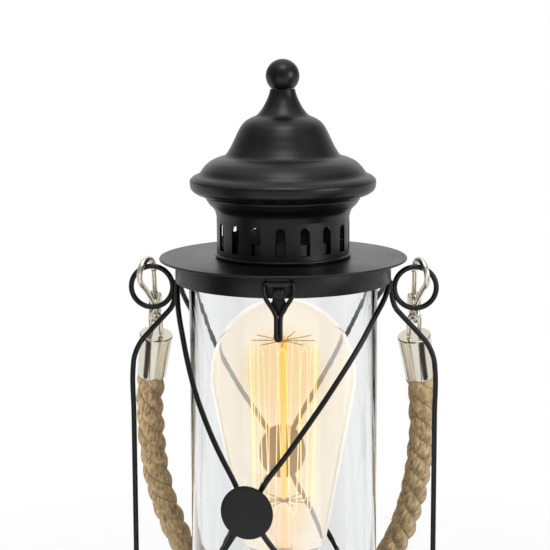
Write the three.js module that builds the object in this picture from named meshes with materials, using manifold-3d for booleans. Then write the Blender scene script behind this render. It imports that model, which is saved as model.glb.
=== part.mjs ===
// A lantern table lamp: a spun steel base, a glass cylinder round a squirrel-cage bulb, a wire
// cage with round discs, a hinged lid with a pierced chimney and bell roof, and a rope handle.
// Millimetres, +Z up, origin at the middle of the underside, front towards -Y.

import * as THREE from 'three';
import { mergeVertices } from 'three/addons/utils/BufferGeometryUtils.js';
import Module from 'manifold-3d';

const wasm = await Module();
wasm.setup();

// Clearances that several pieces share
const seatGap = 0.3; // between pieces that rest on or in each other
const runGap = 0.3; // between pieces that turn on each other
const overrun = 1; // how far a cutter reaches past the face that it cuts

// Facets round a turned piece and round a wire
const wideSides = 36;
const midSides = 26;
const smallSides = 18;
const pinSides = 10;
const wireSides = 6;

// Base
const padThickness = 2;
const padInset = 6; // pad's edge, in from the flange's edge
const ballastInset = 4;
const ballastThickness = 4.2;
const baseSheet = 1.2;
const flangeWidth = 10; // flat of the foot, outside its cove
const coveRadius = 6.5;
const rimLift = 1.1; // the turned-down rim stays this far off the table
const rimRoll = 1.5;
const drumStep = 7.2; // drum's edge, out from the bands
const shoulderRadius = 2;
const baseHeight = 30;
const grommetHeight = 21;
const grommetHoleRadius = 5;
const grommetBore = 3.2;
const grommetLip = 1.6;
const grommetLipThickness = 1.4;
const grommetSetIn = 0.6; // inner lip's extra distance, for the curve of the drum

// Glass and the two bands that hold it
const bulbRoom = 6; // air between the bulb and the glass
const glassWall = 2.5;
const headroom = 20.9; // from the bulb's top to the top of the lid plate
const glassTopGap = 2; // glass to the top of the lid plate
const seatRingThickness = 1.5;
const seatRingOverlap = 2.5; // how far the seat reaches in past the glass
const bandStandoff = 5.8; // band's outside, out from the glass
const bandSheet = 1;
const bandHeight = 9;
const bandFlange = 1;

// Wire cage
const wireRadius = 1.15;
const guardStandoff = 5.5; // side wires stand this far out on the foot's flat
const ringRadius = 8.95; // middle line of the ring for the hook
const ringDrop = 13.5; // ring centre below the lid plate's top
const cageStandoff = 0.3; // cross wires' bulge past the bands, at the middle of their height
const wireTopAngle = 86.5; // degrees from the front or rear to the wires' welded ends
const frontDiscAngle = -15.5;
const rearDiscAngle = -3;
const crossingDrop = 1.8; // crossings below the middle between the bands
const crossStep = 1.45; // one wire steps out and the other in where they cross
const crossStepLength = 14;
const endBlend = 40; // length over which a cross wire comes in to the band's radius
const slantGap = 1.4; // a slanting wire's welded end stays this far off the band's edge
const discRadius = 11.3;
const discThickness = 1.2;

// Lid
const plateOverhang = 6.8; // past the bands
const plateThickness = 1;
const plateEdge = 0.3;
const chimneyRadius = 28.4;
const ventInset = 2.7; // vent hole's edge, in from the chimney's outside
const ventCollarHeight = 8.6;
const ventCollarSheet = 0.8;
const chimneySheet = 1;
const chimneyWallHeight = 17.4;
const chimneyHeight = 26.2;
const chimneyFlare = 4.8;
const windowCount = 17;
const windowWidth = 4.3;
const windowBottom = 3.9;
const windowTop = 15.7;
const domeRadius = 39.7;
const domeSheet = 0.9;
const domeHeight = 44.9;
const domeSeatWidth = 2.9; // turned-in edge that sits on the chimney
const ballRadius = 7.15;
const ballSeatRadius = 4.9;
const studRadius = 1.8;
const studLength = 11;
const nutRadius = 4;
const nutThickness = 3;

// Rear hinge and front clasp, both hung under the plate's overhang
const knuckleRadius = 2.1;
const knuckleStandoff = 2.6; // axles' distance out from the band
const leafLength = 3.2;
const leafThickness = 0.8;
const pinRadius = 0.9;
const hingeKnuckleWidth = 7;
const hingeLeafDrop = 7;
const claspKnuckleWidth = 9;
const claspWireRadius = 0.9;
const claspHalfWidth = 6;
const claspShoulderDrop = 2.4;
const claspVDrop = 13.9;
const claspStemDrop = 23.4;
const claspStemHalf = 1.05;
const claspTilt = 7.5; // degrees that it stands off the catch at rest
const catchNeckWidth = 5;
const catchSpadeWidth = 8;
const catchThickness = 0.8;
const catchTopDrop = 5.7;
const catchBottomDrop = 17.5;
const buttonRadius = 2.4;
const buttonHeight = 1.2;
const buttonDrop = 8;

// Lampholder and its fixing
const nippleRadius = 5;
const nippleBore = 3.6;
const nippleTail = 6; // below the base's top sheet
const nippleReach = 12; // up into the holder
const nippleNutRadius = 8;
const nippleNutThickness = 3;
const cupRadius = 20;
const cupRimHeight = 3;
const cupHeight = 12;
const cupTopRadius = 12;
const cupSheet = 1;
const holderRadius = 20;
const holderFootRadius = 12;
const holderHeight = 45.5;
const holderFloor = 18;
const holderShoulder = 12;
const holderShellWall = 0.5;
const holderShellHeight = 20;
const contactRadius = 4;
const contactThickness = 1;

// Bulb
const capRadius = 13.2;
const capHeight = 22;
const insulatorHeight = 2.4;
const bulbContactRadius = 4.5;
const bulbContactThickness = 1;
const bulbRadius = 32;
const bulbHeight = 114.9; // glass only, from the cap up
const bulbWall = 0.8;
const bulbNeckRadius = 13;
const bulbNeckLength = 3;
const bulbConeRadius = 18.25;
const bulbConeLength = 9.4; // from the neck up to where the straight flank starts
const stemFootRadius = 9;
const stemFootHeight = 3;
const stemRadius = 3.4;
const stemHeight = 24;
const rodRadius = 0.9;
const rodEnd = 1; // rod's end past the filament's top
const filamentRuns = 18;
const filamentRadius = 0.3;
const filamentTopRadius = 14.8;
const filamentBottomRadius = 13;
const filamentBottom = 27.4; // above the bulb cap
const filamentTop = 100;
const hubRadius = 2.2;
const hubThickness = 1.2;
const armRadius = 0.3;

// Rope handle; its own frame has its origin on the swing axis, -Z down the rope's plane
const pivotAngle = 75; // place of the hook on the ring, degrees up from its outer side
const handleLean = 16.5; // degrees that the hanging handle stands back
const handleSetback = 4.5; // rope's plane behind the swing axis
const hookTurn = 65; // degrees from the rope's plane to the hook's plane
const hookWireRadius = 1.2;
const bightRadius = 5.85;
const bightSteps = 8;
const bightRise = 3.2; // hook's top above the ring wire's middle
const hookEyeRadius = 3.1;
const hookEyeDrop = 24.4;
const hookEyeSide = 5; // eye's distance from the ring wire, in the hook's plane
const gatePivotDrop = 16.4;
const gateRadius = 1.1;
const gateKnuckleRadius = 1.9;
const gateKnuckleWidth = 2.4;
const gatePinRadius = 0.55;
const cheekThickness = 0.9;
const cheekRadius = 1.9;
const stapleWireRadius = 1;
const stapleHalfWidth = 2.6;
const stapleFootGap = 0.7; // its feet stand upright over the leaning ferrule
const ferruleTopDrop = 34.9;
const ferruleSetIn = 2.2; // ferrule's top, in from the ring wire
const ferruleLength = 20.6;
const ferruleTopRadius = 7.4;
const ferruleMouthRadius = 6.5;
const ferruleBore = 5.5;
const ferruleCrown = 2.5;
const ferruleSplay = 8.4; // degrees that the ferrule leans out on its way down
const ropeRadius = 6.1;
const ropeBulge = 2.4; // rope's widest line, out from the ring wire
const ropeDrop = 178.2; // its lowest line, below the swing axis
const ropeGrip = 12; // length of rope held in the ferrule
const ropeGap = 0.6; // from the ferrule's mouth to the rope's full thickness

// Outlines, as shares of the sizes that they follow: [radius, height]
const domeShares = [
  [0.871, 0], [0.948, 0.029], [0.985, 0.058], [1, 0.116], [0.998, 0.145], [0.968, 0.174],
  [0.901, 0.205], [0.851, 0.263], [0.777, 0.321], [0.707, 0.35], [0.618, 0.379], [0.571, 0.437],
  [0.521, 0.523], [0.474, 0.61], [0.434, 0.668], [0.402, 0.697], [0.35, 0.726], [0.28, 0.755],
  [0.223, 0.813], [0.184, 0.873], [0.154, 0.931], [0.132, 1],
];
const coveShares = [
  [0, 0], [0.06, 0.15], [0.14, 0.3], [0.34, 0.46], [0.64, 0.62], [0.84, 0.78], [1, 0.93], [1, 1],
];
// Side wire from its welded top down to its upright: [across, down] from the band's lower edge
const guardShares = [
  [0, 0], [0.01, 0.11], [0.045, 0.23], [0.11, 0.31], [0.23, 0.38], [0.55, 0.55], [0.86, 0.74],
  [0.975, 0.89], [1, 1],
];
// Cross wires, from the top to the disc: [angle, height], angle counted from the disc's place
const steepWireShares = [
  [1, 0], [0.845, 0.105], [0.709, 0.209], [0.594, 0.34], [0.491, 0.47], [0.375, 0.6], [0.257, 0.727],
  [0.131, 0.856], [0, 1],
];
const flatWireShares = [
  [1, 0], [0.86, 0.05], [0.738, 0.114], [0.597, 0.237], [0.478, 0.363], [0.37, 0.494],
  [0.264, 0.629], [0.158, 0.767], [0.1, 0.838], [0, 1],
];

// The rope's middle line from the right ferrule to its lowest point: [across, down]
const ropeShares = [
  [0.9835, 0.3389], [0.9932, 0.376], [0.9997, 0.4209], [0.9997, 0.4714], [0.9949, 0.5219],
  [0.9818, 0.5752], [0.9607, 0.6285], [0.9281, 0.6846], [0.8858, 0.7407], [0.8304, 0.7969],
  [0.7555, 0.8502], [0.6546, 0.9007], [0.5275, 0.9428], [0.3745, 0.9742], [0.1954, 0.9933], [0, 1],
];

const paint = { color: 0x1d1c1c, roughness: 0.42, metalness: 0.6 };
const nickel = { color: 0xc8c5bc, roughness: 0.18, metalness: 1 };
const brass = { color: 0xb99a52, roughness: 0.3, metalness: 1 };
const steel = { color: 0x8f9092, roughness: 0.35, metalness: 1 };
const clear = { color: 0xeef3f3, roughness: 0.04, metalness: 0, transparent: true, opacity: 0.3 };
const amber = { color: 0xe6c37a, roughness: 0.04, metalness: 0, transparent: true, opacity: 0.4 };
const glow = { color: 0xffb84d, roughness: 0.5, metalness: 0, emissive: 0xff9a2e };
const phenolic = { color: 0x161616, roughness: 0.5, metalness: 0 };
const rubber = { color: 0x141414, roughness: 0.85, metalness: 0 };
const jute = { color: 0xb59a70, roughness: 0.9, metalness: 0 };

const degree = Math.PI / 180;
const lamp = new THREE.Group();

// Keeps only the positions, joins equal points, drops the slivers at poles, faces pointing out
function cleaned(geometry) {
  const bare = geometry.index ? geometry.toNonIndexed() : geometry.clone();
  for (const name of Object.keys(bare.attributes)) {
    if (name !== 'position') bare.deleteAttribute(name);
  }
  const merged = mergeVertices(bare);
  const index = merged.index.array;
  const place = merged.attributes.position;
  const kept = [];
  let volume = 0;
  const corner = [new THREE.Vector3(), new THREE.Vector3(), new THREE.Vector3()];
  for (let i = 0; i < index.length; i += 3) {
    const [a, b, c] = [index[i], index[i + 1], index[i + 2]];
    if (a === b || b === c || c === a) continue;
    kept.push(a, b, c);
    corner[0].fromBufferAttribute(place, a);
    corner[1].fromBufferAttribute(place, b);
    corner[2].fromBufferAttribute(place, c);
    volume += corner[0].dot(corner[1].cross(corner[2]));
  }
  if (volume < 0) {
    for (let i = 0; i < kept.length; i += 3) [kept[i], kept[i + 1]] = [kept[i + 1], kept[i]];
  }
  merged.setIndex(kept);
  return merged;
}

function toSolid(geometry) {
  const clean = cleaned(geometry);
  const vertProperties = new Float32Array(clean.attributes.position.array);
  const triVerts = new Uint32Array(clean.index.array);
  return new wasm.Manifold(new wasm.Mesh({ numProp: 3, vertProperties, triVerts }));
}

function toGeometry(solid) {
  const mesh = solid.getMesh();
  const geometry = new THREE.BufferGeometry();
  geometry.setAttribute('position', new THREE.BufferAttribute(new Float32Array(mesh.vertProperties), 3));
  geometry.setIndex([...mesh.triVerts]);
  return geometry;
}

function joined(...geometries) {
  return toGeometry(geometries.map(toSolid).reduce((a, b) => a.add(b)));
}

function cut(geometry, ...cutters) {
  return toGeometry(cutters.map(toSolid).reduce((a, b) => a.subtract(b), toSolid(geometry)));
}

// A profile of [radius, height] turned round the Z axis; a ring's profile closes on itself
function turned(profile, segments, closes = false) {
  const points = profile.map(([radius, height]) => new THREE.Vector2(radius, height));
  if (closes) points.push(points[0].clone());
  return cleaned(new THREE.LatheGeometry(points, segments).rotateX(Math.PI / 2));
}

// Points of an arc in a profile, from one angle to another, in degrees
function arc(centreX, centreY, radius, from, to, steps) {
  return Array.from({ length: steps + 1 }, (_, i) => {
    const angle = (from + ((to - from) * i) / steps) * degree;
    return [centreX + radius * Math.cos(angle), centreY + radius * Math.sin(angle)];
  });
}

// The profile of a sheet: an outline, and the same outline moved inwards by the sheet's thickness
function sheetProfile(outline, thickness, every = 1) {
  const inner = outline.map(([x, y], i) => {
    const [x0, y0] = outline[Math.max(i - 1, 0)];
    const [x1, y1] = outline[Math.min(i + 1, outline.length - 1)];
    const length = Math.hypot(x1 - x0, y1 - y0);
    return [x - ((y1 - y0) / length) * thickness, y + ((x1 - x0) / length) * thickness];
  });
  const last = outline.length - 1;
  const kept = inner.filter((_, i) => i === 0 || i === last || i % every === 0);
  return [...outline, ...kept.reverse()];
}

function polygon(radius, sides) {
  const points = Array.from({ length: sides }, (_, i) => {
    const angle = (2 * Math.PI * (i + 0.5)) / sides;
    return new THREE.Vector2(radius * Math.cos(angle), radius * Math.sin(angle));
  });
  return new THREE.Shape(points);
}

// A round wire along a smooth line through the points
function wire(points, radius, steps, sides = wireSides) {
  const curve = new THREE.CatmullRomCurve3(points);
  const options = { extrudePath: curve, steps, bevelEnabled: false };
  return cleaned(new THREE.ExtrudeGeometry(polygon(radius, sides), options));
}

// A closed ring of wire in the XZ plane
function wireRing(radius, thickness, sides, segments) {
  return cleaned(new THREE.TorusGeometry(radius, thickness, sides, segments).rotateX(Math.PI / 2));
}

function rod(radius, length, sides) {
  return cleaned(new THREE.CylinderGeometry(radius, radius, length, sides).rotateX(Math.PI / 2));
}

// A cutter for a bore, and a bore's outline: their flats, not their corners, keep the radius
function bore(radius, length, sides = pinSides) {
  return rod(radius / Math.cos(Math.PI / sides), length, sides);
}

function boreHole(radius, sides = pinSides) {
  const outline = polygon(radius / Math.cos(Math.PI / sides), sides);
  return new THREE.Path(outline.getPoints().reverse());
}

function plate(shape, thickness, curveSegments = 8) {
  return cleaned(new THREE.ExtrudeGeometry(shape, { depth: thickness, bevelEnabled: false, curveSegments }));
}

function add(name, geometry, look, parent = lamp) {
  const shown = geometry.clone();
  shown.computeVertexNormals();
  const mesh = new THREE.Mesh(shown, new THREE.MeshStandardMaterial(look));
  mesh.name = name;
  parent.add(mesh);
  return mesh;
}

const glassRadius = bulbRadius + bulbRoom + glassWall;
const bandRadius = glassRadius + bandStandoff;
const plateRadius = bandRadius + plateOverhang;
const drumRadius = bandRadius + drumStep;
const flangeInnerRadius = drumRadius + coveRadius;
const flangeRadius = flangeInnerRadius + flangeWidth;
const guardSpan = flangeInnerRadius + guardStandoff;
const cageRadius = bandRadius + cageStandoff;
const knuckleOffset = bandRadius + knuckleStandoff;

const holderZ = baseHeight + seatGap + cupHeight + seatGap;
const bulbContactZ = holderZ + holderFloor + contactThickness + 2 * seatGap;
const capZ = bulbContactZ + bulbContactThickness + seatGap + insulatorHeight + seatGap;
const bulbZ = capZ + capHeight + seatGap;
const plateHeight = bulbZ + bulbHeight + headroom;
const rodHeight = filamentTop + rodEnd;
const axleDrop = plateThickness + seatGap + knuckleRadius; // axles below the lid plate's top
const bandTop = plateHeight - plateThickness - seatGap;
const bandBottom = bandTop - bandHeight;
const lowerBandTop = baseHeight + seatGap + bandHeight;

// Base

function baseShell() {
  const rimTop = padThickness + ballastThickness + 2 * seatGap + baseSheet;
  const outline = [
    [flangeRadius, rimLift],
    ...arc(flangeRadius - rimRoll, rimTop - rimRoll, rimRoll, 0, 90, 2),
    ...arc(flangeInnerRadius, rimTop + coveRadius, coveRadius, 270, 180, 3),
    ...arc(drumRadius - shoulderRadius, baseHeight - shoulderRadius, shoulderRadius, 0, 90, 2),
    [nippleRadius + seatGap, baseHeight],
  ];
  const shell = turned(sheetProfile(outline, baseSheet), wideSides, true);
  const hole = bore(grommetHoleRadius, 2 * coveRadius, smallSides).rotateX(Math.PI / 2);
  return cut(shell, hole.translate(0, drumRadius, grommetHeight));
}

function grommet() {
  const neck = grommetHoleRadius - seatGap;
  const lip = grommetHoleRadius + grommetLip;
  const half = baseSheet / 2 + seatGap;
  const back = -half - grommetSetIn;
  const profile = [
    [grommetBore, back - grommetLipThickness], [lip - grommetLip / 2, back - grommetLipThickness],
    [lip - grommetLip / 2, back], [neck, back], [neck, half], [lip, half],
    [lip - grommetLipThickness / 2, half + grommetLipThickness], [grommetBore, half + grommetLipThickness],
  ];
  return turned(profile, smallSides, true);
}

function addBase() {
  const padRadius = flangeRadius - padInset;
  const ballastRadius = flangeRadius - ballastInset;
  const padProfile = [[0, 0], [padRadius, 0], [padRadius, padThickness], [0, padThickness]];
  add('base_pad', turned(padProfile, wideSides), rubber);
  const low = padThickness + seatGap;
  const ballastProfile = [[0, 0], [ballastRadius, 0], [ballastRadius, ballastThickness], [0, ballastThickness]];
  add('ballast_plate', turned(ballastProfile, wideSides), steel).position.z = low;
  add('base_shell', baseShell(), paint);
  const inlet = add('cable_grommet', grommet(), rubber);
  inlet.position.set(0, drumRadius - baseSheet / 2, grommetHeight);
  inlet.rotation.x = -Math.PI / 2;
}

// Glass and bands

// A band of sheet with an inward flange at its closed edge, z from 0 at the flange
function band() {
  const inner = bandRadius - bandSheet;
  const hole = glassRadius + seatGap;
  const profile = [
    [hole, 0], [bandRadius, 0], [bandRadius, -bandHeight], [inner, -bandHeight],
    [inner, -bandFlange], [hole, -bandFlange],
  ];
  return turned(profile, wideSides, true);
}

function addGlass() {
  const seatOuter = glassRadius;
  const seatInner = glassRadius - glassWall - seatRingOverlap;
  const seatZ = baseHeight + seatGap;
  const seatProfile = [
    [seatInner, 0], [seatOuter, 0], [seatOuter, seatRingThickness], [seatInner, seatRingThickness],
  ];
  add('glass_seat', turned(seatProfile, wideSides, true), rubber).position.z = seatZ;
  const bottom = seatZ + seatRingThickness + seatGap;
  const inner = glassRadius - glassWall;
  const top = plateHeight - glassTopGap;
  const glassProfile = [[inner, bottom], [glassRadius, bottom], [glassRadius, top], [inner, top]];
  add('glass_cylinder', turned(glassProfile, wideSides, true), clear);
  add('rim_band', band(), paint).position.z = bandTop;
  const lower = add('lower_band', band(), paint);
  lower.position.z = seatZ;
  lower.rotation.x = Math.PI;
}

// Wire cage

// A side wire with the ring for the hook welded to it, for the right side
function guardWire() {
  const top = bandBottom - seatGap;
  const startX = bandRadius;
  const bend = ringDrop + 2 * ringRadius + 2 * ringRadius - (plateHeight - top);
  const points = guardShares.map(([across, down]) => (
    new THREE.Vector3(startX + across * (guardSpan - startX), 0, top - down * bend)
  ));
  const foot = padThickness + ballastThickness + 2 * seatGap + baseSheet + seatGap;
  const upright = points[points.length - 1].z - foot;
  for (const share of [0.12, 0.5, 1]) {
    points.push(new THREE.Vector3(guardSpan, 0, foot + upright * (1 - share)));
  }
  const ring = wireRing(ringRadius, wireRadius, wireSides, 22);
  ring.translate(ringCentre(), 0, plateHeight - ringDrop);
  return joined(wire(points, wireRadius, 26), ring);
}

function ringCentre() {
  return bandRadius + seatGap + wireRadius + ringRadius;
}

function crossingHeight() {
  return (bandBottom + lowerBandTop) / 2 - crossingDrop;
}

// A cross wire from one side's top to the other side's foot, in front if facing is -1
function crossWire(side, facing, discAngle, stepOut) {
  const top = bandBottom - slantGap;
  const foot = lowerBandTop + slantGap;
  const middle = crossingHeight();
  const points = [];
  const place = (angle, z) => {
    const fromEnd = Math.min((top - z) / endBlend, (z - foot) / endBlend, 1);
    const endRadius = bandRadius - bandSheet;
    const near = Math.max(0, 1 - Math.abs(z - middle) / crossStepLength);
    const ease = near * near * (3 - 2 * near);
    const radius = cageRadius - (cageRadius - endRadius) * (1 - fromEnd) ** 2 + stepOut * ease;
    const turn = angle * degree;
    return new THREE.Vector3(radius * Math.sin(turn), facing * radius * Math.cos(turn), z);
  };
  const rows = (end) => (end * discAngle > 0 ? steepWireShares : flatWireShares);
  for (const [angle, down] of rows(side)) {
    const from = side * wireTopAngle - discAngle;
    points.push(place(discAngle + angle * from, top - down * (top - middle)));
  }
  for (const [angle, up] of rows(-side).slice(0, -1).reverse()) {
    const from = -side * wireTopAngle - discAngle;
    points.push(place(discAngle + angle * from, foot + up * (middle - foot)));
  }
  return wire(points, wireRadius, 30);
}

function addCage() {
  const right = guardWire();
  add('right_guard_wire', right, paint);
  add('left_guard_wire', cleaned(right.clone().scale(-1, 1, 1)), paint);
  add('front_left_wire', crossWire(-1, -1, frontDiscAngle, crossStep), paint);
  add('front_right_wire', crossWire(1, -1, frontDiscAngle, -crossStep), paint);
  add('rear_left_wire', crossWire(-1, 1, rearDiscAngle, crossStep), paint);
  add('rear_right_wire', crossWire(1, 1, rearDiscAngle, -crossStep), paint);
  const middle = crossingHeight();
  const out = cageRadius + crossStep + wireRadius + seatGap + discThickness / 2;
  const discs = [['front_disc', -1, frontDiscAngle], ['rear_disc', 1, rearDiscAngle]];
  for (const [name, facing, angle] of discs) {
    const disc = add(name, rod(discRadius, discThickness, midSides), paint);
    disc.rotation.order = 'ZXY';
    disc.rotation.set(Math.PI / 2, 0, -facing * angle * degree);
    const turn = angle * degree;
    disc.position.set(out * Math.sin(turn), facing * out * Math.cos(turn), middle);
  }
}

// Catch plate and button on the band's front

function addCatch() {
  const neck = catchNeckWidth / 2;
  const spade = catchSpadeWidth / 2;
  const length = catchBottomDrop - catchTopDrop;
  const shape = new THREE.Shape();
  shape.moveTo(-neck, 0);
  shape.lineTo(-neck, -length * 0.62);
  shape.quadraticCurveTo(-spade, -length * 0.7, -spade, -length * 0.8);
  shape.quadraticCurveTo(-spade, -length * 0.95, 0, -length);
  shape.quadraticCurveTo(spade, -length * 0.95, spade, -length * 0.8);
  shape.quadraticCurveTo(spade, -length * 0.7, neck, -length * 0.62);
  shape.lineTo(neck, 0);
  const y = -(bandRadius + seatGap);
  const spadePlate = plate(shape, catchThickness, 4).rotateX(Math.PI / 2);
  add('catch_plate', spadePlate, paint).position.set(0, y, plateHeight - catchTopDrop);
  const face = y - catchThickness - seatGap;
  const profile = [
    [0, 0], [buttonRadius, 0], [buttonRadius, buttonHeight * 0.4],
    [buttonRadius * 0.7, buttonHeight * 0.9], [0, buttonHeight],
  ];
  const button = add('catch_button', turned(profile, pinSides), paint);
  button.position.set(0, face, plateHeight - buttonDrop);
  button.rotation.x = Math.PI / 2;
}

// Knuckles, hinge and clasp

// A rolled knuckle along X with its leaf, a flat strip that leaves the roll's top towards +Y
function rolled(width, pinRoom, leaf) {
  const roll = rod(knuckleRadius, width, pinSides).rotateY(Math.PI / 2);
  const strip = new THREE.BoxGeometry(width, leaf, leafThickness);
  strip.translate(0, leaf / 2, knuckleRadius - leafThickness / 2);
  return cut(joined(roll, strip), bore(pinRoom, width + overrun).rotateY(Math.PI / 2));
}

function addHinge() {
  const axle = [0, knuckleOffset, plateHeight - axleDrop];
  const pinRoom = pinRadius + runGap;
  // the band's leaf hangs down from the middle knuckle, against the band
  const fixed = rolled(hingeKnuckleWidth, pinRoom, hingeLeafDrop).rotateY(Math.PI);
  add('band_hinge_leaf', fixed.rotateX(-Math.PI / 2), paint).position.set(...axle);
  const step = hingeKnuckleWidth + 2 * runGap;
  const leafs = [-1, 1].map((side) => (
    rolled(hingeKnuckleWidth, pinRoom, leafLength).translate(side * step, 0, 0)
  ));
  const bridgeLength = leafLength - knuckleRadius * 1.1;
  const bridge = new THREE.BoxGeometry(step * 2, bridgeLength, leafThickness);
  bridge.translate(0, leafLength - bridgeLength / 2, knuckleRadius - leafThickness / 2);
  add('lid_hinge_leaf', joined(...leafs, bridge), paint).position.set(...axle);
  const pinLength = 3 * hingeKnuckleWidth + 4 * runGap;
  const pin = add('hinge_pin', rod(pinRadius, pinLength, pinSides).rotateY(Math.PI / 2), steel);
  pin.position.set(...axle);
}

function claspLoop() {
  const half = [
    [seatGap / 2, 0], [claspHalfWidth * 0.5, 0], [claspHalfWidth - claspWireRadius, 0],
    [claspHalfWidth, -claspWireRadius], [claspHalfWidth, -claspShoulderDrop],
    [claspHalfWidth * 0.88, -claspShoulderDrop * 1.6],
    [(claspHalfWidth + claspStemHalf) / 2, -(claspShoulderDrop + claspVDrop) / 2],
    [claspStemHalf * 1.25, -claspVDrop * 0.95], [claspStemHalf, -claspVDrop * 1.08],
    [claspStemHalf, -claspStemDrop + claspStemHalf],
    [claspStemHalf * 0.7, -claspStemDrop + claspStemHalf * 0.3],
  ];
  const right = half.map(([x, z]) => new THREE.Vector3(x, 0, z));
  const left = half.map(([x, z]) => new THREE.Vector3(-x, 0, z)).reverse();
  const bottom = new THREE.Vector3(0, 0, -claspStemDrop);
  return wire([...right, bottom, ...left], claspWireRadius, 44);
}

function addClasp() {
  const axle = [0, -knuckleOffset, plateHeight - axleDrop];
  const wireRoom = claspWireRadius + runGap;
  const knuckle = add('clasp_knuckle', rolled(claspKnuckleWidth, wireRoom, leafLength), paint);
  knuckle.position.set(...axle);
  knuckle.rotation.z = Math.PI;
  const loop = add('clasp_wire', claspLoop(), paint);
  loop.position.set(...axle);
  loop.rotation.x = -claspTilt * degree;
}

// Lid

function chimney() {
  const rise = chimneyHeight - chimneyWallHeight;
  const outline = [
    [chimneyRadius, seatGap],
    ...coveShares.map(([out, up]) => [chimneyRadius + out * chimneyFlare, chimneyWallHeight + up * rise]),
  ];
  const wall = turned(sheetProfile(outline, chimneySheet, 2), 2 * windowCount, true);
  const half = windowWidth / 2;
  const shape = new THREE.Shape();
  shape.moveTo(-half, windowBottom);
  shape.lineTo(half, windowBottom);
  shape.lineTo(half, windowTop - half);
  shape.absarc(0, windowTop - half, half, 0, Math.PI, false);
  const depth = 2 * (chimneySheet + overrun);
  const cutters = Array.from({ length: windowCount }, (_, i) => {
    const window = plate(shape, depth, 3).rotateX(Math.PI / 2);
    window.translate(0, -chimneyRadius + depth / 2, 0);
    return window.rotateZ((2 * Math.PI * i) / windowCount);
  });
  return cut(wall, ...cutters);
}

function dome() {
  const outline = domeShares.map(([out, up]) => [out * domeRadius, up * domeHeight]);
  const inner = outline[0][0] - domeSeatWidth;
  const hole = studRadius + seatGap;
  const profile = sheetProfile(outline, domeSheet, 2);
  const last = outline.length;
  const crown = outline[last - 1][1];
  profile.splice(last, 1, [hole, crown], [hole, crown - domeSheet], [outline[last - 1][0] - domeSheet, crown - domeSheet]);
  profile[profile.length - 1] = [inner, domeSheet];
  profile.push([inner, 0]);
  return turned(profile, midSides, true);
}

function finial() {
  const seat = Math.sqrt(ballRadius ** 2 - ballSeatRadius ** 2);
  const start = (-Math.asin(seat / ballRadius) / degree);
  const profile = [
    [0, -seat - studLength], [studRadius, -seat - studLength], [studRadius, -seat],
    ...arc(0, 0, ballRadius, start, 90, 9),
  ];
  profile[profile.length - 1][0] = 0;
  return turned(profile, smallSides);
}

function addLid() {
  const edge = plateRadius - plateEdge;
  const ventRadius = chimneyRadius - ventInset;
  const collar = ventRadius + ventCollarSheet;
  const plateProfile = [
    [ventRadius, -plateThickness], [edge, -plateThickness], [plateRadius, -plateThickness + plateEdge],
    [plateRadius, -plateEdge], [edge, 0], [collar, 0], [collar, ventCollarHeight],
    [ventRadius, ventCollarHeight],
  ];
  add('lid_plate', turned(plateProfile, wideSides, true), paint).position.z = plateHeight;
  add('chimney', chimney(), paint).position.z = plateHeight;
  const domeZ = plateHeight + chimneyHeight + seatGap;
  add('roof_dome', dome(), paint).position.z = domeZ;
  const seat = Math.sqrt(ballRadius ** 2 - ballSeatRadius ** 2);
  const crown = domeZ + domeHeight;
  add('finial_ball', finial(), paint).position.z = crown + seatGap + seat;
  const nut = polygon(nutRadius, 6);
  nut.holes.push(boreHole(studRadius + seatGap));
  add('finial_nut', plate(nut, nutThickness), steel).position.z = crown - domeSheet - seatGap - nutThickness;
}

// Lampholder and bulb

function addHolder() {
  const nippleProfile = [
    [nippleBore, baseHeight - nippleTail], [nippleRadius, baseHeight - nippleTail],
    [nippleRadius, holderZ + nippleReach], [nippleBore, holderZ + nippleReach],
  ];
  add('nipple', turned(nippleProfile, smallSides, true), brass);
  const nut = polygon(nippleNutRadius, 6);
  nut.holes.push(boreHole(nippleRadius + seatGap));
  const nutZ = baseHeight - baseSheet - seatGap - nippleNutThickness;
  add('nipple_nut', plate(nut, nippleNutThickness), steel).position.z = nutZ;

  const hole = nippleRadius + seatGap;
  const cupOutline = [
    [cupRadius, 0], [cupRadius, cupRimHeight], [cupTopRadius, cupHeight], [hole, cupHeight],
  ];
  const cup = turned(sheetProfile(cupOutline, cupSheet), smallSides, true);
  add('holder_cup', cup, paint).position.z = baseHeight + seatGap;

  const bore = capRadius + 2 * seatGap + holderShellWall;
  const bodyProfile = [
    [hole, 0], [holderFootRadius, 0], [holderRadius * 0.9, holderShoulder * 0.6],
    [holderRadius, holderShoulder], [holderRadius, holderHeight - seatGap * 4],
    [holderRadius - seatGap * 4, holderHeight], [bore, holderHeight],
    [bore, holderFloor], [contactRadius - seatGap, holderFloor],
    [contactRadius - seatGap, nippleReach + seatGap], [hole, nippleReach + seatGap],
  ];
  add('holder_body', turned(bodyProfile, smallSides, true), phenolic).position.z = holderZ;
  const shellOuter = capRadius + seatGap + holderShellWall;
  const shellBottom = holderFloor + seatGap;
  const shellProfile = [
    [shellOuter - holderShellWall, shellBottom], [shellOuter, shellBottom],
    [shellOuter, shellBottom + holderShellHeight], [shellOuter - holderShellWall, shellBottom + holderShellHeight],
  ];
  add('holder_shell', turned(shellProfile, smallSides, true), brass).position.z = holderZ;
  const contactZ = holderZ + holderFloor + seatGap + contactThickness / 2;
  add('holder_contact', rod(contactRadius, contactThickness, pinSides), brass).position.z = contactZ;
}

function bulbOutline() {
  const centre = bulbHeight - bulbRadius;
  const flankTop = centre;
  const flankBottom = bulbConeLength;
  const slope = Math.atan2(bulbRadius - bulbConeRadius, flankTop - flankBottom) / degree;
  return [
    [bulbNeckRadius, 0], [bulbNeckRadius, bulbNeckLength],
    [(bulbNeckRadius + bulbConeRadius) / 2 - bulbWall / 2, (bulbNeckLength + bulbConeLength) / 2],
    [bulbConeRadius, bulbConeLength],
    ...arc(0, centre, bulbRadius, -slope, 90, 8),
  ];
}

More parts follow.
